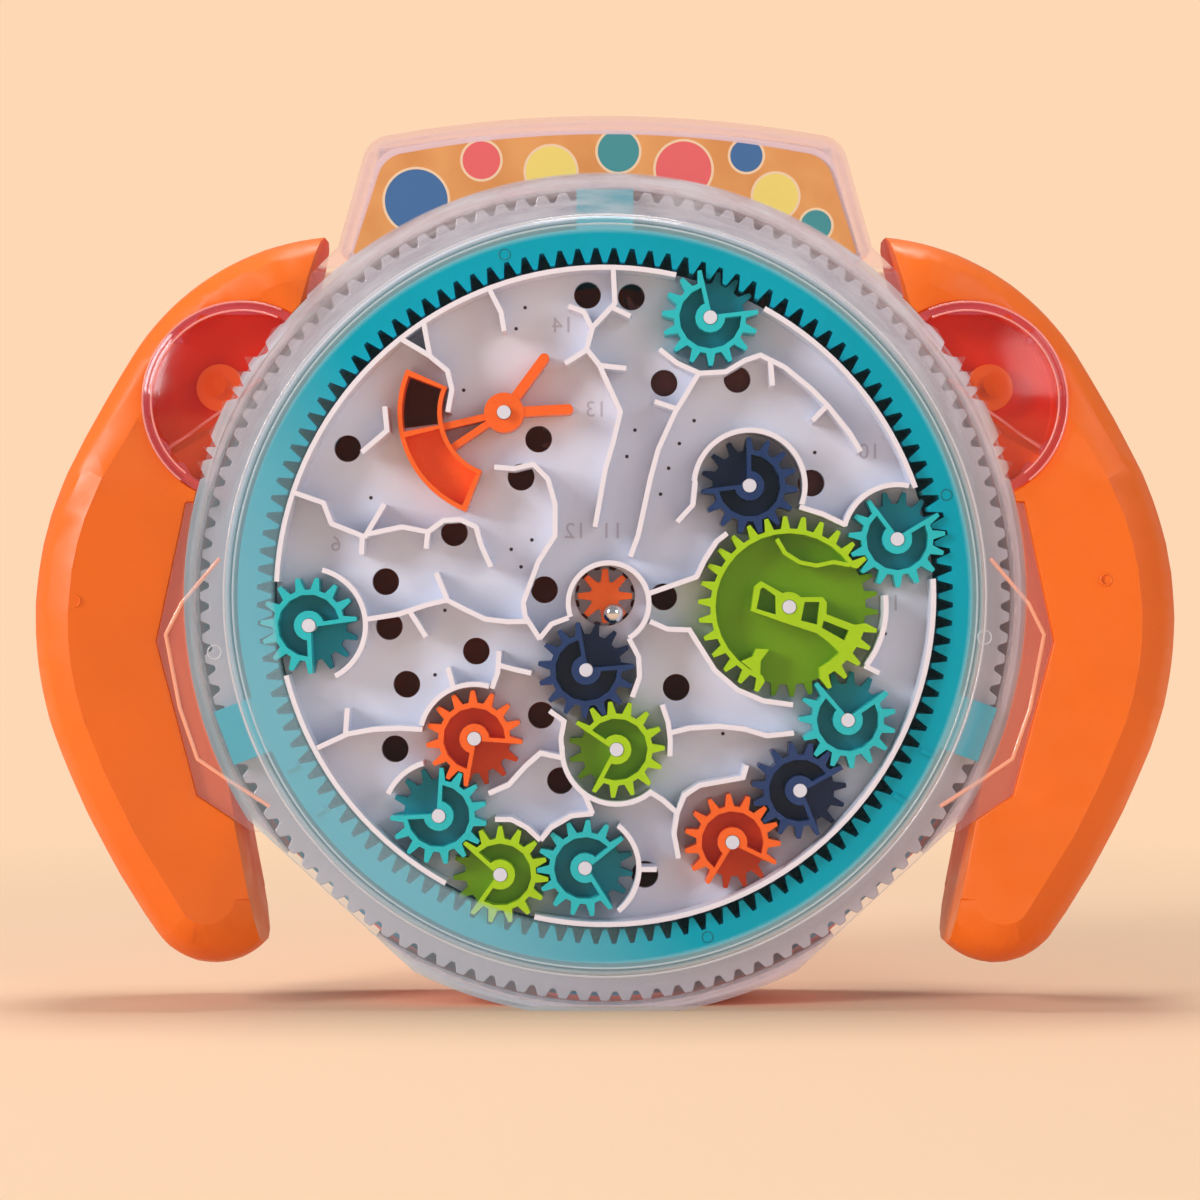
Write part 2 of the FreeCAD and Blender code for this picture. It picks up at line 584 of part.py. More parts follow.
# The other walls, as points along each one measured from the maze axis, in gear modules
WALLS = {
    "top_spur": [(-20.48, 54.24), (-18.32, 50.0), (-17.76, 46.64)],
    "gate_window": [(-35.92, 45.28), (-31.04, 42.4), (-27.76, 39.68), (-26.96, 36.4), (-27.68, 32.4)],
    "gate_window_tie": [(-32.0, 48.4), (-30.88, 42.4)],
    "left_hook": [(-38.8, 33.36), (-38.4, 29.12), (-42.88, 25.28)],
    "left_shelf": [(-54.88, 18.24), (-49.6, 16.4), (-48.16, 12.72), (-42.72, 10.56), (-42.88, 7.28)],
    "left_shelf_spur": [(-42.4, 10.24), (-38.8, 16.24)],
    "left_shelf_run": [(-41.92, 10.88), (-35.76, 12.16), (-31.2, 11.28), (-31.52, 8.32)],
    "left_arch": [(-31.2, 11.28), (-28.4, 13.28), (-25.52, 13.44), (-22.72, 12.16),
                  (-21.84, 8.96), (-20.08, 5.12)],
    "hook": [(-19.52, 22.72), (-16.0, 22.4), (-12.64, 23.2), (-10.08, 20.64), (-8.8, 16.24),
             (-8.8, 10.64),
             (-11.76, 6.0), (-14.4, -1.2), (-14.08, -3.52), (-11.44, -7.68)],
    "top_cup": [(-6.48, 51.04), (-3.68, 50.0), (-2.24, 47.12), (-3.28, 43.28), (-7.04, 40.96)],
    "top_post": [(1.44, 57.76), (1.76, 51.52), (-0.64, 48.96), (-2.4, 47.12)],
    "top_post_spur": [(1.44, 50.72), (4.48, 49.28)],
    "top_cup_foot": [(-3.2, 43.44), (-0.88, 40.56), (3.76, 40.08)],
    "long_drop": [(-1.04, 40.8), (2.72, 32.48), (1.52, 27.36), (0.08, 22.4), (-1.76, 12.16)],
    "upper_run": [(9.6, 43.44), (12.72, 40.96), (16.64, 39.2), (21.2, 39.44), (24.72, 41.52),
                  (27.36, 42.4),
                  (31.6, 40.32), (36.4, 36.4), (39.2, 33.52), (43.12, 28.64), (45.04, 25.44)],
    "upper_run_spur": [(29.12, 41.52), (29.52, 37.04)],
    "upper_run_end": [(38.88, 33.28), (36.56, 30.88)],
    "middle_wall": [(16.48, 39.2), (14.32, 35.52), (12.4, 32.48), (9.36, 25.76), (8.0, 20.64),
                    (5.84, 10.64),
                    (4.48, 6.88)],
    "middle_spur": [(8.72, 34.24), (12.56, 32.96)],
    "navy_tail": [(12.72, 13.04), (15.52, 16.08), (15.92, 20.32)],
    "large_top": [(34.32, 15.68), (38.4, 14.4), (42.4, 12.48)],
    "left_middle": [(-42.32, -4.16), (-36.32, -3.2), (-31.2, -1.52), (-27.84, -0.72), (-24.48, -2.48),
                    (-21.12, -4.08), (-17.28, -4.56), (-13.44, -4.48)],
    "left_middle_dip": [(-11.52, -7.52), (-9.44, -4.96), (-6.4, -3.84)],
    "left_spur_high": [(-29.76, 4.08), (-27.84, -0.48)],
    "left_spur_low": [(-34.4, -2.72), (-31.52, -7.2)],
    "lower_left_run": [(-50.72, -26.8), (-45.36, -24.32), (-40.88, -23.52), (-36.32, -23.28),
                       (-32.16, -23.52)],
    "lower_left_tick": [(-45.36, -19.76), (-45.68, -24.16)],
    "orange_post": [(-19.92, -16.32), (-18.88, -13.44), (-18.64, -9.68)],
    "orange_post_arm": [(-18.88, -12.16), (-15.6, -13.04), (-12.96, -13.6)],
    "orange_spur": [(-27.68, -12.56), (-26.56, -16.64)],
    "lower_middle": [(-20.48, -34.8), (-16.96, -33.28), (-14.08, -30.08), (-11.36, -27.68),
                     (-7.76, -28.48)],
    "lower_middle_top": [(-9.76, -20.24), (-7.2, -22.08), (-7.76, -25.12), (-7.52, -28.0)],
    "cup_link": [(-3.68, -34.72), (-2.16, -38.4)],
    "bottom_run": [(-19.36, -39.36), (-16.48, -39.36), (-13.76, -40.8), (-11.36, -43.04)],
    "bottom_run_end": [(-11.36, -43.04), (-9.52, -40.8), (-5.92, -38.72), (-2.08, -38.32)],
    "centre_right": [(7.68, 0.4), (11.92, 1.92), (16.16, 3.36), (17.52, 6.24), (19.68, 9.6),
                     (21.52, 11.04)],
    "centre_lower": [(7.92, -4.48), (10.96, -5.84), (14.88, -6.0), (16.64, -8.8), (19.36, -13.12),
                     (23.36, -16.56),
                     (27.92, -18.48), (33.12, -19.2)],
    "centre_foot": [(4.24, -7.52), (5.92, -10.72), (6.08, -14.32), (4.8, -17.84)],
    "lime_right": [(10.08, -19.2), (11.12, -22.24), (11.52, -25.44), (11.44, -28.24)],
    "lime_right_run": [(11.44, -24.16), (14.88, -23.28), (20.0, -22.96), (24.56, -23.44), (28.48, -24.64),
                       (33.28, -24.16)],
    "lime_tail": [(8.0, -34.56), (10.24, -36.0), (12.72, -38.24)],
    "orange_top": [(12.72, -38.24), (14.0, -35.12), (16.64, -33.36), (21.2, -32.56),
                   (24.32, -32.0), (24.96, -29.84)],
    "orange_left": [(12.72, -38.24), (12.16, -41.84), (12.96, -46.24)],
    "bottom_spur": [(6.08, -48.16), (9.12, -48.16)],
    "large_tail": [(45.76, -12.32), (48.32, -13.6)],
}

BALL_HOLES = [
    (-3.12, 53.68), (4.72, 53.36), (-45.92, 26.32), (-11.84, 28.0), (-14.96, 21.2),
    (-26.88, 11.28), (10.56, 38.0),
    (23.6, 38.64), (36.8, 20.16), (-39.12, 2.56), (-10.8, 1.12), (-38.48, -5.44), (-22.96, -9.84),
    (-35.36, -15.76), (-11.36, -21.28), (-37.44, -27.28), (-7.92, -32.96), (12.72, -16.32),
    (10.48, -0.16),
    (7.12, -49.68),
]
BOARD_POST_ANGLES = [150.0, 212.0, 262.0, 320.0, 358.0]


# Angles by which the floor's window stops short of the gate's open compartment, and the gate's
# struts and arms: angle, and for an arm how far out its tip lies, in gear modules
GATE_WINDOW_ENDS = (2.0, 3.0)
GATE_STRUTS = [193.0, 214.0]
GATE_ARMS = [(53.5, 11.92), (3.0, 11.36)]


def add_board():
    """White maze board in one moulding: a floor with ball holes, the walls, and the axle
    pins of the front gears and of the gate."""
    back = size("board_back_height")
    front = size("board_front_height")
    top = size("wall_top_height")
    width = size("wall_thickness")
    pin = size("pin_radius")
    foot = front - size("pin_seat")
    ball_hole = size("ball_hole_radius")
    cuts = [raised(disc(ball_hole, x, z), back, front) for x, z in scaled(BALL_HOLES, MODULE)]
    cuts.append(raised(disc(size("star_hole_radius")), back, front))
    turning = GEARS[TURNING_GEAR]
    hole = pin + size("running_clearance")
    cuts.append(raised(disc(hole, turning["x"], turning["z"]), back, front))
    middle = (size("gate_inner") + size("gate_outer")) / 2.0
    opening = size("gate_outer") - size("gate_inner") - 2.0 * size("gate_window_gap")
    start = size("gate_start") + GATE_WINDOW_ENDS[0]
    end = size("gate_divide") - GATE_WINDOW_ENDS[1]
    window = band(middle, opening, start, end, size("gate_x"), size("gate_z"))
    cuts.append(raised(window, back, front))
    floor = raised(disc(size("board_radius")), back, front).cut(Part.makeCompound(cuts))
    rim = size("rim_wall_radius") - width / 2.0
    faces = [band(rim, width, start, end) for start, end in RIM_ARCS]
    for label, radius, start, end in WELLS:
        faces.append(band(radius * MODULE, width, start, end, GEARS[label]["x"], GEARS[label]["z"]))
    x, z, radius = [value * MODULE for value in STAR_WELL[:3]]
    faces.append(band(radius, width, STAR_WELL[3], STAR_WELL[4], x, z))
    faces += [strip(scaled(points, MODULE), width) for points in WALLS.values()]
    solids = [raised(face, foot, top) for face in faces]
    for label, gear in GEARS.items():
        if label != TURNING_GEAR:
            solids.append(raised(disc(pin, gear["x"], gear["z"]), foot, size("pin_top_height")))
    solids.append(raised(disc(pin, size("gate_x"), size("gate_z")), foot, size("pin_top_height")))
    keep("maze_board", fused([floor] + solids))


def add_gate():
    """Swing gate: a curved tray with two compartments, two struts, a hub and two arms."""
    x = size("gate_x")
    z = size("gate_z")
    back = size("gear_back_height")
    top = size("gate_top_height")
    inner = size("gate_inner")
    outer = size("gate_outer")
    wall = size("gate_wall")
    start = size("gate_start")
    divide = size("gate_divide")
    end = size("gate_end")
    tray_radius = (inner + outer) / 2.0
    pieces = []
    pieces.append(raised(band(outer - wall / 2.0, wall, start, end, x, z), back, top))
    pieces.append(raised(band(inner + wall / 2.0, wall, start, end, x, z), back, top))
    end_swing = math.degrees(wall / tray_radius)
    for angle in (start, divide, end - end_swing):
        face = band(tray_radius, outer - inner, angle, angle + end_swing, x, z)
        pieces.append(raised(face, back, top))
    floor = band(tray_radius, outer - inner, divide, end, x, z)
    pieces.append(raised(floor, back, back + size("gate_floor")))
    hub = size("gate_hub_radius")
    strut_top = top - size("gate_strut_drop")
    arm_top = top - size("gate_arm_drop")
    for angle in GATE_STRUTS:
        near = polar(hub / 2.0, angle, x, z)
        far = polar(inner + wall / 2.0, angle, x, z)
        pieces.append(raised(strip([near, far], size("gate_strut_width")), back, strut_top))
    for angle, reach in GATE_ARMS:
        near = polar(hub / 2.0, angle, x, z)
        far = polar(reach * MODULE, angle, x, z)
        arm = raised(strip([near, far], size("gate_arm_width")), back, arm_top)
        tip = raised(disc(size("gate_arm_width") / 2.0, *far), back, arm_top)
        pieces += [arm, tip]
    pieces.append(raised(disc(hub, x, z), back, top - size("gate_hub_drop")))
    gate = fused(pieces)
    bore = size("pin_radius") + size("running_clearance")
    keep("swing_gate", gate.cut(raised(disc(bore, x, z), back, top)))


# Half the angles that a tooth of the centre wheel takes at its root and at its tip
STAR_ROOT_SWING = 17.4
STAR_TIP_SWING = 6.2


def add_star():
    """Eight-point centre wheel on its shaft, with the transfer gear pressed on behind."""
    body = new_body("centre_star", STAR["x"], STAR["z"], 0.0)
    points = []
    root = size("star_root_radius")
    tip = size("star_tip_radius")
    count = int(size("star_points"))
    corners = [(root, -STAR_ROOT_SWING), (tip, -STAR_TIP_SWING), (tip, STAR_TIP_SWING),
               (root, STAR_ROOT_SWING)]
    for number in range(count):
        angle = 90.0 + number * 360.0 / count
        points += [polar(radius, angle + swing) for radius, swing in corners]
    add_pad(body, "Sizes.star_back", "Sizes.star_front - Sizes.star_back", closed_lines(points))
    shaft = [flat_circle(size("star_shaft_radius"))]
    add_pad(body, "Sizes.shaft_foot", "Sizes.star_back - Sizes.shaft_foot", shaft)


def add_navy_axle():
    """Turning axle that carries the centre navy gear and its rear gear."""
    body = new_body("centre_navy_axle", GEARS["gear_centre_navy"]["x"], GEARS["gear_centre_navy"]["z"])
    shank = [flat_circle(size("pin_radius"))]
    add_pad(body, "Sizes.shaft_foot", "Sizes.pin_top_height - Sizes.shaft_foot", shank)


def add_idler_pin():
    """Pin of the rear idler, pressed into a post of the rear shell."""
    low = size("shaft_foot")
    high = size("rear_gear_front") + size("gear_gap")
    keep("idler_pin", raised(disc(size("pin_radius"), IDLER_GEAR["x"], IDLER_GEAR["z"]), low, high))


def add_ball():
    ball = doc.addObject("Part::Sphere", "steel_ball")
    ball.Label = "steel_ball"
    ball.setExpression("Radius", "Sizes.ball_radius")
    place = spot(size("ball_x"), size("ball_z")) + FRONT * size("ball_height")
    ball.Placement = Placement(place, Rotation())
    parts.append(ball)


# Case outlines in shares of the case's radius, right-hand side; the left is its mirror image

SIDE_PLATE = [(0.646, 0.221), (0.996, 0.221), (1.066, -0.108), (0.969, -0.474), (0.84, -0.56),
              (0.646, -0.56)]

# Clear shoulder between the head plate and the grip
SHOULDER = [(0.538, 0.753), (0.63, 0.832), (0.698, 0.764), (0.709, 0.713), (0.667, 0.646)]

# The grip's outer edge: where it starts, which way it heads, and its arcs as radius and sweep,
# each flowing into the next. It runs on past the two flat ends that cut the grip off.
GRIP_START = (0.5223, 0.8615)
GRIP_HEADING = 9.28
GRIP_ARCS = [(0.6129, 67.33), (3.3271, 5.0), (0.8536, 48.23), (2.137, 13.51), (0.1705, 140.0)]
GRIP_HEAD_CUT = [(0.77, 0.538), (0.618, 1.076)]
GRIP_FOOT_CUT = [(0.779, -1.076), (0.903, -0.43)]
GRIP_INSIDE = 0.484

# Rib inside the clear ear, from the case to the ear's rim, measured from the ear's middle
EAR_RIB = [(3.6, -3.1), (18.5, -11.2)]

CASE = size("case_radius")

# Case screws: through the ear and in the grip's foot
CASE_SCREWS = [(size("ear_screw_x"), size("ear_screw_rise")), (CASE * 1.033, -CASE * 0.678)]

# Tongues of the case that the grips clamp: how far out and in which direction
TONGUES = [(math.hypot(*CASE_SCREWS[0]), math.degrees(math.atan2(CASE_SCREWS[0][1], CASE_SCREWS[0][0]))),
           (CASE * 1.087, -15.0)]


def both(shape):
    """A right-hand shape and its mirror image."""
    return [shape, shape.mirror(Vector(0, 0, 0), Vector(1, 0, 0))]


def corner_arc(before, corner, after, reach):
    """Arc that rounds a corner, and its two ends, a reach from the corner."""
    first = unit(corner, before)
    second = unit(corner, after)
    half = math.acos(first[0] * second[0] + first[1] * second[1]) / 2.0
    depth = reach / math.cos(half) - reach * math.tan(half)
    middle = unit((0.0, 0.0), (first[0] + second[0], first[1] + second[1]))
    start = (corner[0] + first[0] * reach, corner[1] + first[1] * reach)
    end = (corner[0] + second[0] * reach, corner[1] + second[1] * reach)
    deep = (corner[0] + middle[0] * depth, corner[1] + middle[1] * depth)
    return start, end, Part.Arc(spot(*start), spot(*deep), spot(*end)).toShape()


def head_plate(inset):
    """Head plate with an arched top and rounded upper corners."""
    half_top = size("head_half_top") - inset
    half_foot = size("head_half_foot") - inset
    half_low = CASE * 0.43
    top = size("head_top") - AXIS_Z - inset
    shoulder = top - size("head_crown")
    foot = size("head_foot") - AXIS_Z
    low = foot - CASE * 0.13
    reach = size("head_corner")
    left_foot, left_top, left_arc = corner_arc((-half_foot, foot), (-half_top, shoulder), (0, top), reach)
    right_top, right_foot, right_arc = corner_arc((0, top), (half_top, shoulder), (half_foot, foot), reach)
    edges = [
        line_edge((-half_low, low), (-half_foot, foot)),
        line_edge((-half_foot, foot), left_foot),
        left_arc,
        Part.Arc(spot(*left_top), spot(0, top), spot(*right_top)).toShape(),
        right_arc,
        line_edge(right_foot, (half_foot, foot)),
        line_edge((half_foot, foot), (half_low, low)),
        line_edge((half_low, low), (-half_low, low)),
    ]
    return Part.Face(Part.Wire(edges))


def outside_case(shape, radius, low, high):
    """What of a shape lies beyond a radius from the maze axis."""
    return shape.cut(raised(disc(radius), low, high))


def turned_box(near, far, half, degrees):
    """Rectangle between two distances along a direction from the maze axis."""
    corners = [(near, -half), (far, -half), (far, half), (near, half)]
    return polygon([polar(math.hypot(a, b), degrees + math.degrees(math.atan2(b, a)))
                    for a, b in corners])


def round_case(inset):
    """Round case with its flat foot and its two finger flats."""
    reach = CASE * 2.0
    floor = -AXIS_Z + inset
    face = disc(size("case_radius") - inset)
    face = face.cut(polygon([(-reach, floor), (reach, floor), (reach, -reach), (-reach, -reach)]))
    near = size("finger_flat_distance") - inset
    for angle in (270.0 - size("finger_flat_angle"), 270.0 + size("finger_flat_angle")):
        face = face.cut(turned_box(near, reach, CASE / 2.0, angle))
    return face


def grip_outline(inset):
    """Closed outline of the right-hand grip, a distance inside its outer edge."""
    heading = math.radians(GRIP_HEADING)
    x = GRIP_START[0] * CASE + inset * math.sin(heading)
    z = GRIP_START[1] * CASE - inset * math.cos(heading)
    start = (x, z)
    edges = []
    for share, sweep in GRIP_ARCS:
        radius = share * CASE
        centre = (x + (radius - inset) * math.sin(heading), z - (radius - inset) * math.cos(heading))
        first = math.degrees(heading) + 90.0
        edges.append(arc_edge(radius - inset, first, first - sweep, centre[0], centre[1]))
        x, z = polar(radius - inset, first - sweep, centre[0], centre[1])
        heading -= math.radians(sweep)
    side = GRIP_INSIDE * CASE
    edges.append(line_edge((x, z), (side, z)))
    edges.append(line_edge((side, z), (side, start[1])))
    edges.append(line_edge((side, start[1]), start))
    return Part.Wire(edges)


def grip_ends(inset, low, high):
    """Blocks beyond the two flat ends of the grip, and inside the case's seat."""
    head_a, head_b = scaled(GRIP_HEAD_CUT, CASE)
    foot_a, foot_b = scaled(GRIP_FOOT_CUT, CASE)
    beyond = size("case_radius") / 2.0
    head = [(head_a[0] + inset, head_a[1]), (head_b[0] + inset, head_b[1]), (beyond, head_b[1]),
            (beyond, head_a[1])]
    foot = [(foot_a[0] + inset, foot_a[1]), (foot_b[0] + inset, foot_b[1]), (beyond, foot_b[1]),
            (beyond, foot_a[1])]
    faces = [polygon(head), polygon(foot), disc(size("case_radius") + size("grip_gap") + inset)]
    return [raised(face, low, high) for face in faces]


def at_height(wire, height):
    moved_wire = wire.copy()
    moved_wire.translate(FRONT * height)
    return moved_wire


def grip_block(end, parting):
    """Right-hand grip half from its rounded end face to the parting plane. Its rounding is a
    loft through outlines on a quarter circle."""
    radius = size("grip_rounding")
    way = 1.0 if parting > end else -1.0
    sections = []
    for angle in (0.0, 30.0, 60.0, 90.0):
        slope = math.radians(angle)
        inset = radius * (1.0 - math.sin(slope))
        height = end + way * radius * (1.0 - math.cos(slope))
        sections.append(at_height(grip_outline(inset), height))
    sections.append(at_height(grip_outline(0.0), parting))
    block = Part.makeLoft(sections, True, True)
    return block.cut(grip_ends(0.0, min(end, parting) - 1.0, max(end, parting) + 1.0))


def grip_hollow(low, high):
    """Inside of the right-hand grip, one wall in from its outline and from its two ends."""
    wall = size("grip_wall")
    hollow = raised(Part.Face(grip_outline(wall)), low, high)
    return hollow.cut(grip_ends(wall, low - 1.0, high + 1.0))


def tongues(margin, low, high):
    """Right-hand tongues of the case between two heights."""
    half = size("tab_radius") + margin
    near = size("case_radius") - size("case_wall") - 1.0
    return [raised(turned_box(near, reach + half, half, angle), low, high) for reach, angle in TONGUES]


def screw_bosses(low, high):
    return [raised(disc(size("screw_boss_radius"), x, z), low, high) for x, z in CASE_SCREWS]


def largest(shape):
    """The biggest solid of a shape."""
    return sorted(shape.Solids, key=lambda solid: solid.Volume)[-1]


def keep_pair(name, shape):
    """Right-hand and left-hand sub-parts of one shape."""
    right, left = both(shape)
    keep("right_" + name, right)
    keep("left_" + name, left)


def add_grip_fronts():
    """Front halves of the grips: hollow mouldings with an ear recess and its boss, a seat for
    the cover's side plate and screw bosses inside."""
    low = size("grip_parting_height")
    high = size("grip_front_height")
    wall = size("grip_wall")
    gap = size("side_gap")
    seat = size("side_plate_back") - gap
    hollow_top = seat - wall
    ear_x = size("ear_x")
    ear_z = size("ear_rise")
    ear_floor = size("ear_floor_height")
    case = CASE + size("grip_gap")
    solid = grip_block(high, low).cut(grip_hollow(low, hollow_top))
    ear_wall = raised(disc(size("ear_radius"), ear_x, ear_z), low, seat)
    ear_wall = outside_case(ear_wall, case, low, seat)
    inside = raised(Part.Face(grip_outline(0.0)), low, seat)
    boss_top = hollow_top + size("screw_boss_root")
    bosses = [outside_case(boss, case, low, boss_top) for boss in screw_bosses(low, boss_top)]
    solid = solid.fuse([ear_wall.common(inside)] + bosses)
    recess = raised(disc(size("ear_radius") - size("ear_wall"), ear_x, ear_z), ear_floor, high)
    boss = raised(disc(size("ear_boss_radius"), *CASE_SCREWS[0]), ear_floor, size("ear_boss_height"))
    above = raised(disc(size("ear_radius") + gap, ear_x, ear_z), seat, high)
    plate = raised(polygon(scaled(SIDE_PLATE, CASE)).makeOffset2D(gap), seat, high)
    pilots = [raised(disc(size("screw_shank_radius"), x, z), low, low + size("screw_bite"))
              for x, z in CASE_SCREWS]
    solid = solid.cut([recess.cut(boss), above, plate] + pilots)
    keep_pair("grip_front", largest(solid))


def add_grip_backs():
    """Rear halves of the grips: hollow, with screw bosses that carry the case's tongues."""
    low = size("grip_back_height")
    high = size("grip_parting_height")
    gap = size("side_gap")
    floor = low + size("grip_end_wall")
    tab_low = high - size("tab_thickness")
    case = CASE + size("grip_gap")
    solid = grip_block(low, high).cut(grip_hollow(floor, high))
    boss_foot = floor - size("screw_boss_root")
    bosses = [outside_case(boss, case, low, high) for boss in screw_bosses(boss_foot, high)]
    solid = solid.fuse(bosses).cut(tongues(gap, tab_low, high))
    solid = solid.cut(screw_ways(CASE_SCREWS, low, high))
    keep_pair("grip_back", largest(solid))


def screw_ways(places, low, high):
    """Clearance holes for screws from the back, each with a recess for its head."""
    shank = size("screw_shank_radius") + size("screw_clearance")
    head = size("screw_head_radius") + 2.0 * size("screw_clearance")
    ways = []
    for x, z in places:
        ways.append(raised(disc(shank, x, z), low, high))
        ways.append(raised(disc(head, x, z), low, low + size("screw_recess")))
    return ways


def add_rear_shell():
    """Rear half of the round case with the head plate, the tongues that the grips clamp, and
    inside it the ring's rib, the axle posts and the board posts."""
    back = -size("case_back_depth")
    front = size("parting_height")
    wall = size("case_wall")
    head_low = size("head_back_height")
    tab_high = size("grip_parting_height")
    tab_low = tab_high - size("tab_thickness")
    chamfer = size("back_chamfer")
    taper = Part.makeCone(CASE - chamfer, CASE, chamfer, spot(0, 0) + FRONT * back, FRONT)
    bowl = raised(round_case(0.0), back, back + chamfer).common(taper)
    bowl = bowl.fuse(raised(round_case(0.0), back + chamfer, front))
    pieces = [bowl, raised(head_plate(0.0), head_low, front)]
    for tab in tongues(0.0, tab_low, tab_high):
        pieces += both(tab)
    shell = fused(pieces)
    cavity = raised(round_case(wall), back + size("back_wall"), front)
    slot_back = size("finger_ring_back") - size("ring_gap")
    ring_slot = raised(disc(CASE - wall), slot_back, front)
    head_hollow = raised(head_plate(size("head_wall")), head_low, front - size("head_plate"))
    head_hollow = outside_case(head_hollow, CASE, head_low, front)
    shell = shell.cut([cavity, ring_slot, head_hollow])
    shell = shell.fuse(shell_posts(back))
    holes = shell_holes()
    way = size("screw_shank_radius") + size("screw_clearance")
    holes += both(raised(disc(way, *CASE_SCREWS[0]), tab_low, tab_high))
    keep("rear_shell", largest(shell.cut(holes)))


def shell_posts(back):
    """Rib and posts inside the bowl that carry the ring, the axles and the board."""
    floor = back + size("back_wall") / 2.0
    rib_top = size("ring_back_height") - size("ring_gap")
    rib_outer = size("ring_outer_radius") - size("ring_rib_inset")
    rib = raised(disc(rib_outer), floor, rib_top)
    posts = [rib.cut(raised(disc(rib_outer - size("ring_rib_width")), floor, rib_top))]
    post_top = size("rear_gear_back") - size("post_gap")
    for gear in (IDLER_GEAR, STAR, GEARS[TURNING_GEAR]):
        posts.append(raised(disc(size("post_radius"), gear["x"], gear["z"]), floor, post_top))
    for angle in BOARD_POST_ANGLES:
        x, z = polar(size("board_post_circle"), angle)
        posts += [raised(face, floor, size("board_back_height")) for face in cross(x, z)]
    return posts


def cross(x, z):
    """The two arms of a post with a cross-shaped section."""
    long = size("board_post_radius")
    short = size("board_post_rib") / 2.0
    return [polygon([(x - a, z - b), (x + a, z - b), (x + a, z + b), (x - a, z + b)])
            for a, b in ((long, short), (short, long))]


def shell_holes():
    """Sockets of the idler pin and of the two turning axles."""
    top = size("rear_gear_back")
    foot = size("shaft_foot")
    pin = size("pin_radius")
    running = size("running_clearance")
    end_play = size("gear_gap")
    turning = GEARS[TURNING_GEAR]
    holes = [raised(disc(pin, IDLER_GEAR["x"], IDLER_GEAR["z"]), foot, top)]
    shaft = size("star_shaft_radius") + running
    holes.append(raised(disc(shaft, STAR["x"], STAR["z"]), foot - end_play, top))
    holes.append(raised(disc(pin + running, turning["x"], turning["z"]), foot - end_play, top))
    return holes


def one_screw(x, z, seat, tip):
    """Pan-head screw, its head behind the seat and its shank towards the front."""
    head = raised(disc(size("screw_head_radius"), x, z), seat - size("screw_head_height"), seat)
    return head.fuse(raised(disc(size("screw_shank_radius"), x, z), seat, tip))


def add_screws():
    """Case screws, all one node."""
    seat = size("grip_back_height") + size("screw_recess")
    tip = size("grip_parting_height") + size("screw_bite") - size("ring_gap")
    screws = []
    for x, z in CASE_SCREWS:
        screws += both(one_screw(x, z, seat, tip))
    keep("case_screws", Part.makeCompound(screws))


def dome(radius, height, x, z, base):
    """Cap of a sphere that stands on a base height."""
    ball_radius = (radius * radius + height * height) / (2.0 * height)
    centre = spot(x, z) + FRONT * (base + height - ball_radius)
    ball = Part.makeSphere(ball_radius, centre)
    return ball.common(raised(disc(radius + 1.0, x, z), base, base + height + 1.0))


def ear_cap():
    """Right-hand clear ear: a rim, a shallow dome and a wall along the round case."""
    x = size("ear_x")
    z = size("ear_rise")
    low = size("side_plate_back")
    rim_top = low + size("side_plate_thickness")
    wall = size("ear_wall")
    radius = size("ear_radius")
    rise = size("ear_dome_height")
    high = rim_top + rise
    outer = raised(disc(radius, x, z), low, rim_top).fuse(dome(radius, rise, x, z, rim_top))
    inner = raised(disc(radius - wall, x, z), low, rim_top)
    inner = inner.fuse(dome(radius - wall, rise - wall, x, z, rim_top))
    cap = outside_case(outer, CASE - wall, low, high)
    cap = cap.cut(outside_case(inner, CASE, low, high))
    deep = size("ear_floor_height") + size("side_gap")
    hollow = raised(disc(radius - wall - size("side_gap"), x, z), deep, low + wall)
    rib = raised(strip(moved(EAR_RIB, x, z), size("ear_rib_width")), deep, high)
    rib = outside_case(rib.common(outer.fuse(hollow)), CASE + size("grip_gap"), deep, high)
    cap = cap.fuse(rib)
    boss_top = size("ear_boss_height")
    post = raised(disc(size("ear_post_radius"), *CASE_SCREWS[0]), boss_top, high - wall)
    return cap.fuse(post)


def add_cover():
    """Clear front cover: flange and skirt, raised round window, side plates, head tray, ears."""
    low = size("parting_height")
    flange = size("flange_height")
    inner_flange = flange - size("cover_wall")
    top = size("case_front_height")
    step = size("window_radius")
    window = raised(disc(step + size("window_wall")), low, top)
    rim = [edge for edge in window.Edges if edge.BoundBox.YMax < -top + 0.01]
    window = window.makeChamfer(size("window_chamfer"), rim)
    solid = raised(round_case(0.0), low, flange).fuse([window, raised(head_plate(0.0), low, flange)])
    side_low = size("side_plate_back")
    side = raised(polygon(scaled(SIDE_PLATE, CASE)), side_low, side_low + size("side_plate_thickness"))
    shoulder = raised(polygon(scaled(SHOULDER, CASE)), side_low, flange)
    solid = solid.fuse(both(side) + both(shoulder) + both(ear_cap()))
    case_inside = CASE - size("case_wall")
    head = raised(head_plate(size("head_wall")), low, inner_flange)
    head = outside_case(head, CASE, low, flange)
    finger_slot = raised(disc(case_inside), low, inner_flange)
    under_window = raised(disc(step), low, top - size("window_wall"))
    solid = solid.cut([head, finger_slot, under_window])
    keep("front_cover", largest(solid.removeSplitter()))


def add_card():
    """Printed card in the head tray, on the shell's head plate."""
    low = size("parting_height") + size("card_gap")
    high = low + size("card_thickness")
    card = raised(head_plate(size("card_inset")), low, high)
    keep("head_card", largest(outside_case(card, CASE + size("card_case_gap"), low, high)))


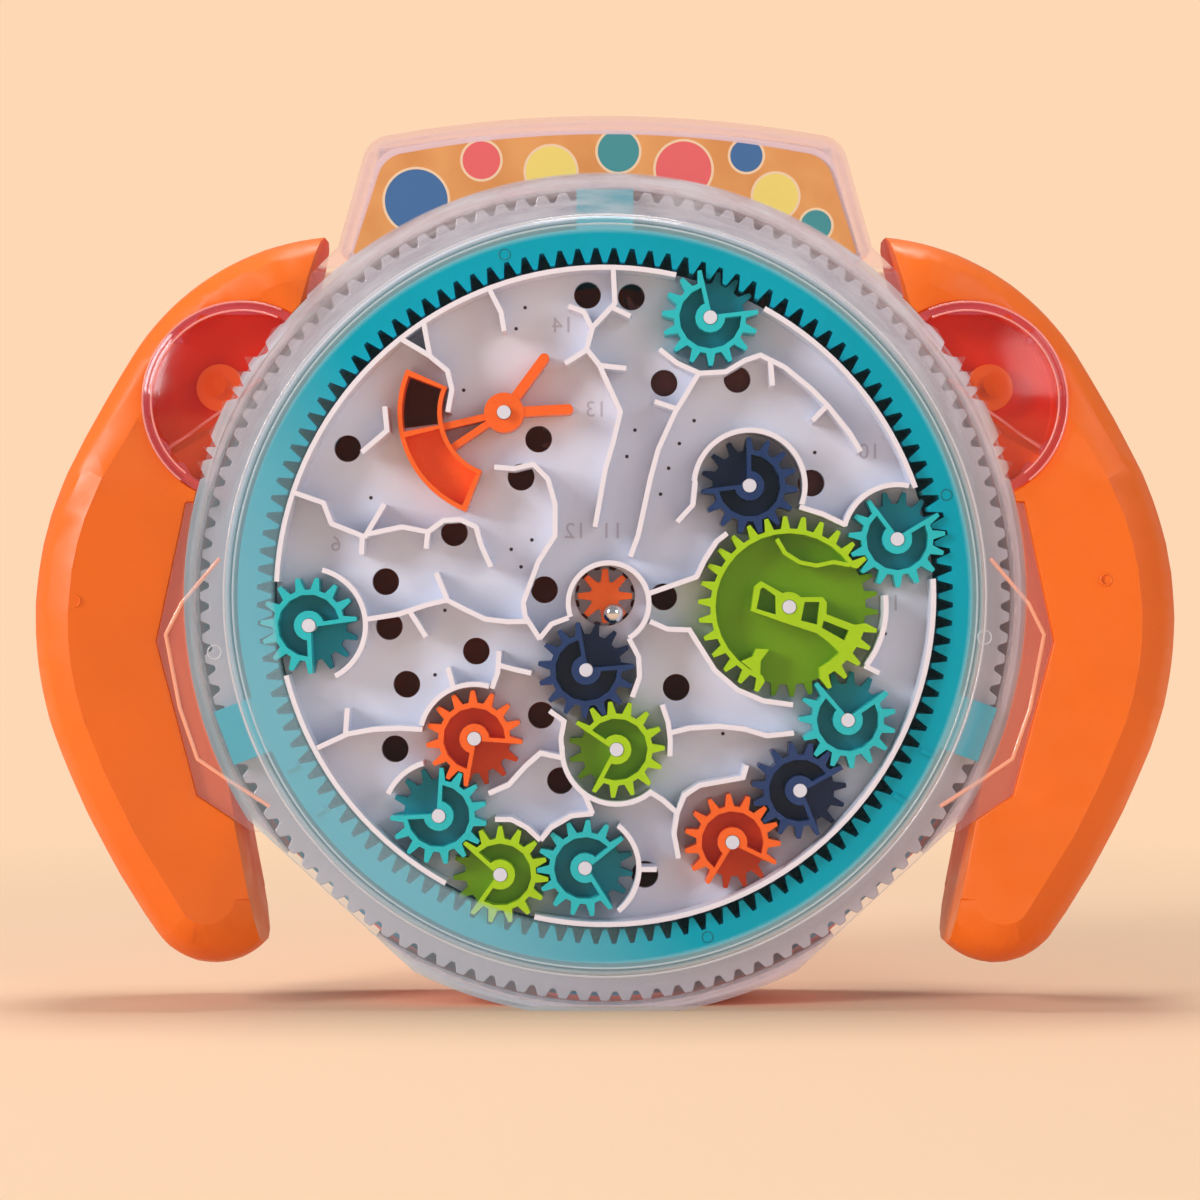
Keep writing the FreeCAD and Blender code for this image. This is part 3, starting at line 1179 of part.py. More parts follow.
add_rear_shell()
add_grip_fronts()
add_grip_backs()
add_cover()
add_card()
add_board()
add_idler_pin()
add_drive_ring()
add_finger_ring()
for gear_label in POCKETS:
    add_small_gear(gear_label)
add_large_gear()
add_plain_gear("rear_idler", IDLER_GEAR, IDLER, size("pin_radius") + size("running_clearance"))
add_plain_gear("rear_transfer_gear", STAR, TRANSFER, size("star_shaft_radius"))
add_plain_gear("rear_navy_gear", GEARS[TURNING_GEAR], SMALL, size("pin_radius"))
add_star()
add_navy_axle()
add_gate()
add_ball()
add_screws()
doc.recompute()

for item in doc.Objects:
    if "Invalid" in item.State or "Error" in item.State:
        raise RuntimeError("%s failed: %s" % (item.Label, item.State))

os.makedirs("parts", exist_ok=True)
for item in parts:
    shape = item.Shape
    if shape.isNull() or not shape.isValid():
        raise RuntimeError("%s has no valid shape" % item.Label)
    shape.exportStep("parts/%s.step" % item.Label)
    print("%-24s solids %2d faces %4d volume %10.1f" %
          (item.Label, len(shape.Solids), len(shape.Faces), shape.Volume))
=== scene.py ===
"""Looks of the gear maze toy: moulded plastics, clear cover, printed card and studio."""
import json
import math

import bpy
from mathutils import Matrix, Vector, kdtree

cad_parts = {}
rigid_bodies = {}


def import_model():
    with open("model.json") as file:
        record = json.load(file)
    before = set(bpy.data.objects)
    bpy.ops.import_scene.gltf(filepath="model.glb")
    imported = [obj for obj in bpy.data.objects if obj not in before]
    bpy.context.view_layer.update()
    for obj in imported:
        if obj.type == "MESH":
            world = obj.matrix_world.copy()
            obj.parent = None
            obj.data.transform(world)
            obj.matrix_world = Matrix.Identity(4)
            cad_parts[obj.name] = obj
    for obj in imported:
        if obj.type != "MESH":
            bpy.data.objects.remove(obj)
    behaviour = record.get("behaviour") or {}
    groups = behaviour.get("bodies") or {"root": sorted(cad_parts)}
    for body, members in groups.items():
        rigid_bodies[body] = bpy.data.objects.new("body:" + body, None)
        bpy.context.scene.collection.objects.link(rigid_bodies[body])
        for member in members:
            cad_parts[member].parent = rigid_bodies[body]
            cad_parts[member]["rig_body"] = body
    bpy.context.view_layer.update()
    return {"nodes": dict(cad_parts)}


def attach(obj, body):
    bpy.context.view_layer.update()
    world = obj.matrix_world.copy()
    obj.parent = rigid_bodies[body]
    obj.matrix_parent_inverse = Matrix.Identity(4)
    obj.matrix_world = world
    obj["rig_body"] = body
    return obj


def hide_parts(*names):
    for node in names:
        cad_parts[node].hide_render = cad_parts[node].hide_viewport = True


MM = 0.001
AXIS_HEIGHT = 91.5

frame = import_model()
nodes = frame["nodes"]


# Places on the toy

FACING_FRONT = (math.radians(90.0), 0.0, 0.0)


def at(x, z, height):
    """Point of the toy from millimetres right of and above the maze axis, and its height to the front."""
    return Vector((x * MM, -height * MM, (AXIS_HEIGHT + z) * MM))


def out(radius, degrees, x=0.0, z=0.0):
    """Point at a radius and an angle about (x, z), in millimetres."""
    turn = math.radians(degrees)
    return (x + radius * math.cos(turn), z + radius * math.sin(turn))


# Finishes

def new_finish(name):
    """Empty node material and its principled shader."""
    finish = bpy.data.materials.new(name)
    finish.use_nodes = True
    tree = finish.node_tree
    tree.nodes.clear()
    shader = tree.nodes.new("ShaderNodeBsdfPrincipled")
    surface = tree.nodes.new("ShaderNodeOutputMaterial")
    tree.links.new(shader.outputs["BSDF"], surface.inputs["Surface"])
    return finish, tree, shader, surface


def cloud(tree, scale, detail=2.0):
    """Soft noise that stays with the toy."""
    place = tree.nodes.new("ShaderNodeTexCoord")
    noise = tree.nodes.new("ShaderNodeTexNoise")
    noise.inputs["Scale"].default_value = scale
    noise.inputs["Detail"].default_value = detail
    tree.links.new(place.outputs["Object"], noise.inputs["Vector"])
    return noise


def spread(tree, source, low, high):
    """Turns the middle of a noise into a run from low to high."""
    run = tree.nodes.new("ShaderNodeMapRange")
    run.inputs["From Min"].default_value = 0.3
    run.inputs["From Max"].default_value = 0.7
    run.inputs["To Min"].default_value = low
    run.inputs["To Max"].default_value = high
    tree.links.new(source.outputs["Fac"], run.inputs["Value"])
    return run


def shades(tree, source, first, second):
    """Colour that drifts between two near shades of the plastic."""
    ramp = tree.nodes.new("ShaderNodeValToRGB")
    ramp.color_ramp.elements[0].position = 0.35
    ramp.color_ramp.elements[0].color = (*first, 1.0)
    ramp.color_ramp.elements[1].position = 0.65
    ramp.color_ramp.elements[1].color = (*second, 1.0)
    tree.links.new(source.outputs["Fac"], ramp.inputs["Fac"])
    return ramp


def linear(red, green, blue):
    """Screen colour, 0 to 255, as the shader's linear one."""
    whole = []
    for part in (red, green, blue):
        share = part / 255.0
        whole.append(share / 12.92 if share <= 0.04045 else ((share + 0.055) / 1.055) ** 2.4)
    return tuple(whole)


def moulded(name, colour, rough, drift=0.06, glow=0.0, grain=0.02, gloss_level=0.3):
    """Injection-moulded plastic: a little colour drift, uneven gloss and a very fine skin."""
    finish, tree, shader, _ = new_finish(name)
    drifting = cloud(tree, 38.0, 3.0)
    first = tuple(part * (1.0 - drift) for part in colour)
    second = tuple(min(part * (1.0 + drift), 1.0) for part in colour)
    ramp = shades(tree, drifting, first, second)
    tree.links.new(ramp.outputs["Color"], shader.inputs["Base Color"])
    gloss = spread(tree, cloud(tree, 160.0, 2.0), rough * 0.85, rough * 1.2)
    tree.links.new(gloss.outputs["Result"], shader.inputs["Roughness"])
    skin = cloud(tree, 2600.0, 1.0)
    bump = tree.nodes.new("ShaderNodeBump")
    bump.inputs["Strength"].default_value = grain
    bump.inputs["Distance"].default_value = 0.0001
    tree.links.new(skin.outputs["Fac"], bump.inputs["Height"])
    tree.links.new(bump.outputs["Normal"], shader.inputs["Normal"])
    shader.inputs["Specular IOR Level"].default_value = gloss_level
    if glow:
        shader.inputs["Subsurface Weight"].default_value = glow
        shader.inputs["Subsurface Radius"].default_value = (1.0, 0.7, 0.6)
        shader.inputs["Subsurface Scale"].default_value = 0.0015
    return finish


def layered(tree, below, mask, colour):
    """Lays a plain colour over another by a mask."""
    layer = tree.nodes.new("ShaderNodeMix")
    layer.data_type = "RGBA"
    tree.links.new(mask, layer.inputs["Factor"])
    tree.links.new(below, layer.inputs["A"])
    layer.inputs["B"].default_value = (*colour, 1.0)
    return layer.outputs["Result"]


def toy_place(tree):
    """Sockets that give a point's place from the maze axis, in millimetres: right, height to the
    front, up, and distance from the axis."""
    place = tree.nodes.new("ShaderNodeTexCoord")
    centred = tree.nodes.new("ShaderNodeVectorMath")
    centred.operation = "SUBTRACT"
    centred.inputs[1].default_value = (0.0, 0.0, AXIS_HEIGHT * MM)
    tree.links.new(place.outputs["Object"], centred.inputs[0])
    sized = tree.nodes.new("ShaderNodeVectorMath")
    sized.operation = "MULTIPLY"
    sized.inputs[1].default_value = (1.0 / MM, -1.0 / MM, 1.0 / MM)
    tree.links.new(centred.outputs["Vector"], sized.inputs[0])
    parts = tree.nodes.new("ShaderNodeSeparateXYZ")
    tree.links.new(sized.outputs["Vector"], parts.inputs["Vector"])
    level = tree.nodes.new("ShaderNodeVectorMath")
    level.operation = "MULTIPLY"
    level.inputs[1].default_value = (1.0, 0.0, 1.0)
    tree.links.new(sized.outputs["Vector"], level.inputs[0])
    radius = tree.nodes.new("ShaderNodeVectorMath")
    radius.operation = "LENGTH"
    tree.links.new(level.outputs["Vector"], radius.inputs[0])
    return parts.outputs["X"], parts.outputs["Y"], parts.outputs["Z"], radius.outputs["Value"]


def sums(tree, operation, first, second):
    """One step of arithmetic on sockets or plain numbers."""
    step = tree.nodes.new("ShaderNodeMath")
    step.operation = operation
    for slot, value in enumerate((first, second)):
        if isinstance(value, float):
            step.inputs[slot].default_value = value
        else:
            tree.links.new(value, step.inputs[slot])
    return step.outputs["Value"]


def rising(tree, value, start, end, low=0.0, high=1.0):
    """Soft step from low to high as a value passes from start to end."""
    run = tree.nodes.new("ShaderNodeMapRange")
    run.interpolation_type = "SMOOTHSTEP"
    run.inputs["From Min"].default_value = start
    run.inputs["From Max"].default_value = end
    run.inputs["To Min"].default_value = low
    run.inputs["To Max"].default_value = high
    tree.links.new(value, run.inputs["Value"])
    return run.outputs["Result"]


GLEAM_STRAIGHT = 0.012
GLEAM_SLANTING = 0.85
GLEAM_POWER = 5.0


def clear(name, tint, haze, body, rough):
    """Clear plastic: see-through, hazy by a share, and bright where it is seen at a low angle."""
    finish, tree, shader, surface = new_finish(name)
    shader.inputs["Base Color"].default_value = (*body, 1.0)
    shader.inputs["Roughness"].default_value = rough
    shader.inputs["IOR"].default_value = 1.5
    shader.inputs["Coat Weight"].default_value = 1.0
    shader.inputs["Coat Roughness"].default_value = 0.04
    see_through(tree, shader, surface, tint, haze, GLEAM_STRAIGHT, GLEAM_SLANTING)
    return finish


def see_through(tree, shader, surface, tint, haze, gleam_low, gleam_high):
    """Mixes a plastic with what lies behind it, by its haze, which can be a socket, and by the
    angle it is seen at. Light passes it freely on the way in."""
    glass = tree.nodes.new("ShaderNodeBsdfTransparent")
    glass.inputs["Color"].default_value = (*tint, 1.0)
    slant = tree.nodes.new("ShaderNodeLayerWeight")
    slant.inputs["Blend"].default_value = 0.5
    share = tree.nodes.new("ShaderNodeMapRange")
    share.inputs["To Min"].default_value = gleam_low
    share.inputs["To Max"].default_value = gleam_high
    tree.links.new(sums(tree, "POWER", slant.outputs["Facing"], GLEAM_POWER), share.inputs["Value"])
    path = tree.nodes.new("ShaderNodeLightPath")
    lighting = sums(tree, "MAXIMUM", path.outputs["Is Shadow Ray"], path.outputs["Is Diffuse Ray"])
    seen = sums(tree, "SUBTRACT", 1.0, lighting)
    solid = sums(tree, "MULTIPLY", sums(tree, "MAXIMUM", share.outputs["Result"], haze), seen)
    mix = tree.nodes.new("ShaderNodeMixShader")
    tree.links.new(solid, mix.inputs["Fac"])
    tree.links.new(glass.outputs["BSDF"], mix.inputs[1])
    tree.links.new(shader.outputs["BSDF"], mix.inputs[2])
    tree.links.new(mix.outputs["Shader"], surface.inputs["Surface"])


# Clear case: distance from the axis, colour and haze of its rim, in bands: partly the haze of the thick
# rim seen edge on, partly painted highlight lines, brightest at 83.1 mm
RIM_BANDS = [
    (79.6, (0.30, 0.62, 0.70), 0.0),
    (80.6, (0.40, 0.70, 0.78), 0.26),
    (81.6, (0.34, 0.62, 0.70), 0.34),
    (82.4, (0.40, 0.62, 0.70), 0.40),
    (83.1, (0.74, 0.82, 0.88), 0.56),
    (83.9, (0.44, 0.50, 0.58), 0.30),
    (86.5, (0.48, 0.46, 0.54), 0.12),
    (89.5, (0.54, 0.49, 0.56), 0.14),
    (91.5, (0.60, 0.50, 0.55), 0.46),
    (93.2, (0.46, 0.32, 0.34), 0.40),
]

# Head plate: its sides lean in and its top is an arc about a point far below
HEAD_FOOT = 72.0
HEAD_SIDE = (0.9625, 0.2716, 77.56)
HEAD_ARC_MIDDLE = -190.4
HEAD_ARC_RADIUS = 296.2
CARD_BORDER = 3.2
CASE_EDGE = 93.1
COVER_FRONT = 14.4
PAINTED_GLARE_POWER = 3.5


def from_head_edge(tree, x, z):
    """Distance inwards from the nearest edge of the head plate, in millimetres."""
    across, rise, reach = HEAD_SIDE
    from_side = sums(tree, "MULTIPLY", sums(tree, "ABSOLUTE", x, 0.0), across)
    from_side = sums(tree, "ADD", from_side, sums(tree, "MULTIPLY", z, rise))
    from_side = sums(tree, "SUBTRACT", reach, from_side)
    above = tree.nodes.new("ShaderNodeCombineXYZ")
    tree.links.new(x, above.inputs["X"])
    tree.links.new(sums(tree, "SUBTRACT", z, HEAD_ARC_MIDDLE), above.inputs["Y"])
    arc = tree.nodes.new("ShaderNodeVectorMath")
    arc.operation = "LENGTH"
    tree.links.new(above.outputs["Vector"], arc.inputs[0])
    from_top = sums(tree, "SUBTRACT", HEAD_ARC_RADIUS, arc.outputs["Value"])
    return sums(tree, "MINIMUM", from_side, from_top)


def rim_streaks(tree, x, z, radius):
    """Uneven streaky haze that runs round the rim, with painted light that grows towards the top."""
    round_the_ring = tree.nodes.new("ShaderNodeCombineXYZ")
    tree.links.new(sums(tree, "MULTIPLY", radius, 0.55), round_the_ring.inputs["X"])
    tree.links.new(sums(tree, "MULTIPLY", sums(tree, "ARCTAN2", z, x), 7.0), round_the_ring.inputs["Y"])
    streaks = tree.nodes.new("ShaderNodeTexNoise")
    streaks.inputs["Scale"].default_value = 1.0
    streaks.inputs["Detail"].default_value = 3.0
    tree.links.new(round_the_ring.outputs["Vector"], streaks.inputs["Vector"])
    # painted light: the streaks grow stronger from the bottom of the rim to its top, where the light falls
    frost_and_painted_light = sums(tree, "MULTIPLY", rising(tree, z, -10.0, 70.0, 0.12, 0.85),
                 spread(tree, streaks, 0.35, 1.0).outputs["Result"])
    return sums(tree, "MULTIPLY", frost_and_painted_light, rising(tree, radius, 82.6, 84.4))


def clear_case(name):
    """Clear cover: a clean window with a pale blue painted reflection towards the lower left, a cloudy
    rim in bands with painted highlight lines and painted light towards the top, a rosy border round the
    card and rosy side plates."""
    finish, tree, shader, surface = new_finish(name)
    x, height, z, radius = toy_place(tree)
    first, last = RIM_BANDS[0][0], RIM_BANDS[-1][0]
    along = sums(tree, "DIVIDE", sums(tree, "SUBTRACT", radius, first), last - first)
    bands = tree.nodes.new("ShaderNodeValToRGB")
    steps = bands.color_ramp.elements
    while len(steps) < len(RIM_BANDS):
        steps.new(1.0)
    for step, (reach, colour, cloudy) in zip(steps, RIM_BANDS):
        step.position = (reach - first) / (last - first)
        step.color = (*colour, cloudy)
    tree.links.new(along, bands.inputs["Fac"])
    front = rising(tree, height, COVER_FRONT, COVER_FRONT + 0.5)
    outside = rising(tree, radius, CASE_EDGE, CASE_EDGE + 0.4)
    within = sums(tree, "SUBTRACT", 1.0, outside)
    frost_and_painted_light = rim_streaks(tree, x, z, radius)
    # painted reflection: a pale blue glare on the window, growing towards the lower left
    low_left = sums(tree, "ADD", sums(tree, "MULTIPLY", x, -0.85), sums(tree, "MULTIPLY", z, -0.5))
    painted_glare = rising(tree, low_left, 15.0, 68.0, 0.0, 0.26)
    painted_glare = sums(tree, "MULTIPLY", painted_glare, rising(tree, radius, 72.0, 73.5))
    head = sums(tree, "MULTIPLY", rising(tree, z, HEAD_FOOT, HEAD_FOOT + 1.0), outside)
    by_the_edge = rising(tree, from_head_edge(tree, x, z), CARD_BORDER, CARD_BORDER - 0.4)
    border = sums(tree, "MULTIPLY", head, by_the_edge)
    plates = sums(tree, "MULTIPLY", outside, rising(tree, z, HEAD_FOOT, HEAD_FOOT - 1.0))
    rim_haze = sums(tree, "ADD", bands.outputs["Alpha"], sums(tree, "MULTIPLY", frost_and_painted_light, 0.6))
    rim_haze = sums(tree, "MULTIPLY", rim_haze, within)
    rim_haze = sums(tree, "MAXIMUM", rim_haze, sums(tree, "MULTIPLY", painted_glare, within))
    haze = sums(tree, "MULTIPLY", rim_haze, front)
    haze = sums(tree, "MAXIMUM", haze, sums(tree, "MULTIPLY", border, 0.5))
    haze = sums(tree, "MAXIMUM", haze, sums(tree, "MULTIPLY", plates, 0.4))
    painted_glare_share = sums(tree, "MULTIPLY", painted_glare, PAINTED_GLARE_POWER)
    body = layered(tree, bands.outputs["Color"], painted_glare_share, linear(160, 208, 228))
    body = layered(tree, body, frost_and_painted_light, linear(214, 218, 232))
    body = layered(tree, body, border, linear(250, 212, 198))
    body = layered(tree, body, plates, linear(182, 112, 112))
    tree.links.new(body, shader.inputs["Base Color"])
    shader.inputs["Roughness"].default_value = 0.08
    shader.inputs["Coat Weight"].default_value = 1.0
    shader.inputs["Coat Roughness"].default_value = 0.03
    see_through(tree, shader, surface, (0.995, 0.99, 0.995), haze, 0.008, GLEAM_SLANTING)
    return finish


def dome_clear(name):
    """Clear dome: almost nothing of its own but the gleam of the lamps."""
    finish, tree, shader, surface = new_finish(name)
    shader.inputs["Base Color"].default_value = (1.0, 0.95, 0.97, 1.0)
    shader.inputs["Metallic"].default_value = 1.0
    gloss = spread(tree, cloud(tree, 120.0, 2.0), 0.1, 0.2)
    tree.links.new(gloss.outputs["Result"], shader.inputs["Roughness"])
    see_through(tree, shader, surface, (0.97, 0.87, 0.86), 0.0, 0.028, 0.8)
    return finish


def plastic_of(tree):
    """The principled shader of a finish."""
    return next(node for node in tree.nodes if node.type == "BSDF_PRINCIPLED")


SHELL_RIM = 89.6


def orange_shell(name):
    """Orange rear shell: its front rim and head plate are frosted, as seen under the cover, and its
    floor under the ring is slate blue, the ring's teal darkened as painted shade."""
    finish = moulded(name, linear(240, 98, 40), 0.34, 0.015, glow=0.1)
    tree = finish.node_tree
    shader = plastic_of(tree)
    _, height, _, radius = toy_place(tree)
    outside = rising(tree, radius, SHELL_RIM, SHELL_RIM + 0.6)
    within = rising(tree, radius, SHELL_RIM + 0.6, SHELL_RIM)
    frosted = sums(tree, "MULTIPLY", rising(tree, height, 8.3, 8.5), outside)
    # painted shade: slate blue on the floor and inner wall below the ring, where only shade falls
    under_ring_painted_shade = sums(tree, "MULTIPLY", rising(tree, radius, 71.0, 72.0), within)
    under_ring_painted_shade = sums(tree, "MULTIPLY", under_ring_painted_shade, rising(tree, height, -18.0, -17.5))
    body = shader.inputs["Base Color"].links[0].from_socket
    body = layered(tree, body, frosted, linear(228, 206, 214))
    body = layered(tree, body, under_ring_painted_shade, linear(66, 138, 168))
    tree.links.new(body, shader.inputs["Base Color"])
    return finish


# Line of the ribs across the ears, which is the same on both sides
EAR_RIB_SLOPE = 0.744
EAR_RIB_REACH = 105.0


def red_bowl_shade(name):
    """Ear bowl in dark red, painted shade of the orange moulding in its hollow, which is lighter below its
    rib.
    """
    # painted shade: dark red for the orange moulding where the bowl lies in shade
    finish = moulded(name, linear(238, 66, 22), 0.4, 0.1, glow=0.1, gloss_level=0.15)
    tree = finish.node_tree
    shader = plastic_of(tree)
    x, _, z, _ = toy_place(tree)
    across = sums(tree, "ADD", sums(tree, "MULTIPLY", sums(tree, "ABSOLUTE", x, 0.0), EAR_RIB_SLOPE), z)
    below_rib = rising(tree, across, EAR_RIB_REACH + 0.3, EAR_RIB_REACH - 0.3)
    body = layered(tree, shader.inputs["Base Color"].links[0].from_socket, below_rib, linear(252, 118, 56))
    tree.links.new(body, shader.inputs["Base Color"])
    return finish


def bright_metal(name, colour, rough):
    """Bare metal with fine uneven polish."""
    finish, tree, shader, _ = new_finish(name)
    shader.inputs["Base Color"].default_value = (*colour, 1.0)
    shader.inputs["Metallic"].default_value = 1.0
    gloss = spread(tree, cloud(tree, 900.0, 2.0), rough * 0.7, rough * 1.4)
    tree.links.new(gloss.outputs["Result"], shader.inputs["Roughness"])
    return finish


ORANGE_GRIP = moulded(
    "glossy_orange_plastic", linear(240, 110, 14), 0.42, 0.03, glow=0.1, grain=0.012, gloss_level=0.5)
ORANGE_SHELL = orange_shell("orange_shell_plastic")
RED_BOWL_SHADE = red_bowl_shade("red_recess_painted_shade")
BOARD_WHITE = moulded("cool_white_plastic", linear(222, 227, 241), 0.36, 0.02, glow=0.1)
# painted highlight: a lighter copy of the board's white for the tops of its walls
WALL_TOP_HIGHLIGHT = moulded("wall_top_painted_highlight", linear(238, 236, 246), 0.3, 0.015, glow=0.1)
# painted shade: dark maroon on the rear idler, so that the board's holes over it look dark
IDLER_PAINTED_SHADE = moulded("maroon_idler_painted_shade", linear(92, 34, 30), 0.5, 0.05)
BOARD_MARK = moulded("board_mark_plastic", linear(192, 189, 204), 0.4, 0.03)
RING_TEAL = moulded("teal_ring_plastic", linear(0, 166, 190), 0.34, 0.04, gloss_level=0.15)
GEAR_TEAL = moulded("light_teal_gear_plastic", linear(44, 196, 204), 0.28, 0.04, glow=0.1)
GEAR_LIME = moulded("lime_gear_plastic", linear(170, 216, 24), 0.28, 0.04, glow=0.1)
GEAR_NAVY = moulded("navy_gear_plastic", linear(38, 62, 112), 0.28, 0.08)
GEAR_ORANGE = moulded("orange_gear_plastic", linear(252, 108, 38), 0.28, 0.04, glow=0.1)
# painted shade: darker copies of the gear colours for sunken faces
TEAL_PAINTED_SHADE = moulded("deep_teal_gear_plastic", linear(14, 132, 148), 0.34, 0.05)
LIME_PAINTED_SHADE = moulded("deep_lime_gear_plastic", linear(112, 158, 10), 0.34, 0.05)
NAVY_PAINTED_SHADE = moulded("deep_navy_gear_plastic", linear(22, 36, 74), 0.34, 0.08)
ORANGE_PAINTED_SHADE = moulded("deep_orange_gear_plastic", linear(204, 66, 18), 0.34, 0.05)
CASE_CLEAR = clear_case("clear_cover_plastic")
EAR_CLEAR = dome_clear("clear_ear_plastic")
EAR_RIM = clear("rosy_ear_rim_plastic", (0.9, 0.5, 0.55), 0.4, (0.55, 0.13, 0.18), 0.1)
RING_CLEAR = clear("cloudy_ring_plastic", (0.96, 0.95, 0.975), 0.9, (0.50, 0.48, 0.56), 0.2)
SCREW_STEEL = bright_metal("screw_steel", (0.55, 0.55, 0.56), 0.35)
BALL_STEEL = bright_metal("polished_ball_steel", (0.78, 0.78, 0.79), 0.08)


# Working on pieces

def take(piece):
    """Selects one piece and nothing else."""
    bpy.ops.object.select_all(action="DESELECT")
    piece.select_set(True)
    bpy.context.view_layer.objects.active = piece


def finish_steps(piece, width, segments, limit, smooth, shape):
    """Rounds the sharp edges of a piece, gives it its further shape and shades it."""
    take(piece)
    if width:
        edge = piece.modifiers.new("edge_rounding", "BEVEL")
        edge.width = width * MM
        edge.segments = segments
        edge.limit_method = "ANGLE"
        edge.angle_limit = math.radians(limit)
        edge.use_clamp_overlap = True
        bpy.ops.object.modifier_apply(modifier=edge.name)
    if shape:
        shape(piece)
    bpy.ops.object.shade_smooth_by_angle(angle=math.radians(smooth))
    if width:
        even = piece.modifiers.new("even_faces", "WEIGHTED_NORMAL")
        even.keep_sharp = True
        bpy.ops.object.modifier_apply(modifier=even.name)


def softened(node, finish, width, segments=2, limit=35.0, smooth=50.0, shape=None):
    """Merged copy of a CAD node with rounded edges, which stands for the node."""
    source = nodes[node]
    piece = bpy.data.objects.new(node + "_moulding", source.data.copy())
    bpy.context.scene.collection.objects.link(piece)
    take(piece)
    bpy.ops.object.mode_set(mode="EDIT")
    bpy.ops.mesh.select_all(action="SELECT")
    bpy.ops.mesh.remove_doubles(threshold=0.000004)
    bpy.ops.mesh.dissolve_limited(angle_limit=math.radians(1.0))
    bpy.ops.object.mode_set(mode="OBJECT")
    piece.data.materials.clear()
    piece.data.materials.append(finish)
    finish_steps(piece, width, segments, limit, smooth, shape)
    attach(piece, source["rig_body"])
    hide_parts(node)
    return piece


def paint_faces(piece, finish, wanted):
    """Gives the faces whose middle passes a test another finish."""
    piece.data.materials.append(finish)
    number = len(piece.data.materials) - 1
    for face in piece.data.polygons:
        middle = face.center
        x = middle.x / MM
        z = middle.z / MM - AXIS_HEIGHT
        if wanted(x, z, -middle.y / MM):
            face.material_index = number


# Gears, rings and board

GEAR_WEB = 11.4
GEAR_TOP = 15.8
WALL_TOP = 16.3
GEAR_FINISH = {
    "teal": (GEAR_TEAL, TEAL_PAINTED_SHADE),
    "lime": (GEAR_LIME, LIME_PAINTED_SHADE),
    "navy": (GEAR_NAVY, NAVY_PAINTED_SHADE),
    "orange": (GEAR_ORANGE, ORANGE_PAINTED_SHADE),
}


def below_the_top(x, z, height):
    """Sunken faces of a gear: the pocket's floor and everything behind it, which take a darker copy of the
    gear's colour as painted shade.
    """
    return height < GEAR_WEB + 0.3


def wall_top(x, z, height):
    """Tops of the maze walls and of the board's rim, which take a lighter white as painted highlight."""
    return height > WALL_TOP


for node in sorted(nodes):
    if node.startswith("gear_"):
        shade = node.rsplit("_", 1)[1]
        bright, deep = GEAR_FINISH[shade]
        gear = softened(node, bright, 0.28)
        # the pockets take the darker painted-shade copy
        paint_faces(gear, deep, below_the_top)

softened("drive_ring", RING_TEAL, 0.22)
softened("finger_ring", RING_CLEAR, 0.35)
board = softened("maze_board", BOARD_WHITE, 0.3)
# tops of the walls in the lighter painted-highlight white
paint_faces(board, WALL_TOP_HIGHLIGHT, wall_top)
softened("swing_gate", GEAR_ORANGE, 0.25)
softened("centre_star", GEAR_ORANGE, 0.25)
# the rear idler in the dark maroon painted shade
softened("rear_idler", IDLER_PAINTED_SHADE, 0.15, 1)
softened("rear_transfer_gear", BOARD_WHITE, 0.15, 1)
softened("rear_navy_gear", BOARD_WHITE, 0.15, 1)
softened("centre_navy_axle", BOARD_WHITE, 0.2)

# Case and grips

EAR = (80.0, 42.9)
EAR_RADIUS = 22.1
EAR_WALL = 1.9
EAR_FRONT = 15.5
BOSS = (86.05, 46.54)
BOSS_RADIUS = 5.6
BOWL_RADIUS = 20.5
BOWL_BACK = 3.9
BOWL_FLOOR = 4.4
BOWL_BRIM = 11.9
CASE_RADIUS = 92.9
GRIP_FRONT = 14.0
GRIP_ROUNDING = 10.0

# Crown of a grip: its rise, the slope at the inner edges, and the spacing of the cuts that carry it
CROWN = 4.6
CROWN_SLOPE = 0.34
CROWN_GRID = 2.0
RIDGE_KEEP = 1.6
SMOOTHED_FROM = 1.4
EDGE_STEP = 0.4

SIDES = (("right", 1.0), ("left", -1.0))

softened("rear_shell", ORANGE_SHELL, 0.3)


def from_ear(x, z):
    """Distance from the middle of the nearer ear."""
    return math.hypot(abs(x) - EAR[0], z - EAR[1])


def ear_dome(x, z, height):
    """Clear middle of an ear, outside the round case."""
    return from_ear(x, z) < EAR_RADIUS - EAR_WALL and math.hypot(x, z) > CASE_RADIUS


def ear_rim(x, z, height):
    """Wall round an ear, outside the round case."""
    ring = EAR_RADIUS - EAR_WALL <= from_ear(x, z) < EAR_RADIUS + 0.4
    return ring and math.hypot(x, z) > CASE_RADIUS + 0.5 and height < EAR_FRONT


def ear_bowl(x, z, height):
    """Inside of an ear's bowl, apart from its screw boss."""
    boss = math.hypot(abs(x) - BOSS[0], z - BOSS[1])
    open_floor = boss > BOSS_RADIUS or height < BOWL_FLOOR
    return from_ear(x, z) < BOWL_RADIUS and BOWL_BACK < height < BOWL_BRIM and open_floor


def nearest_to(spots):
    """Search tree over points seen from the front."""
    tree = kdtree.KDTree(len(spots))
    for number, spot in enumerate(spots):
        tree.insert(Vector((spot.x, 0.0, spot.z)), number)
    tree.balance()
    return tree


def front_face(face):
    """Face on the front of a grip, outside its ear."""
    middle = face.center
    away = from_ear(middle.x / MM, middle.z / MM - AXIS_HEIGHT)
    return face.normal.y < -0.05 and away > EAR_RADIUS - 0.4


def flat_face(face):
    """Face on the flat part of a grip's front."""
    return front_face(face) and face.normal.y < -0.999 and -face.center.y / MM > GRIP_FRONT - 0.1


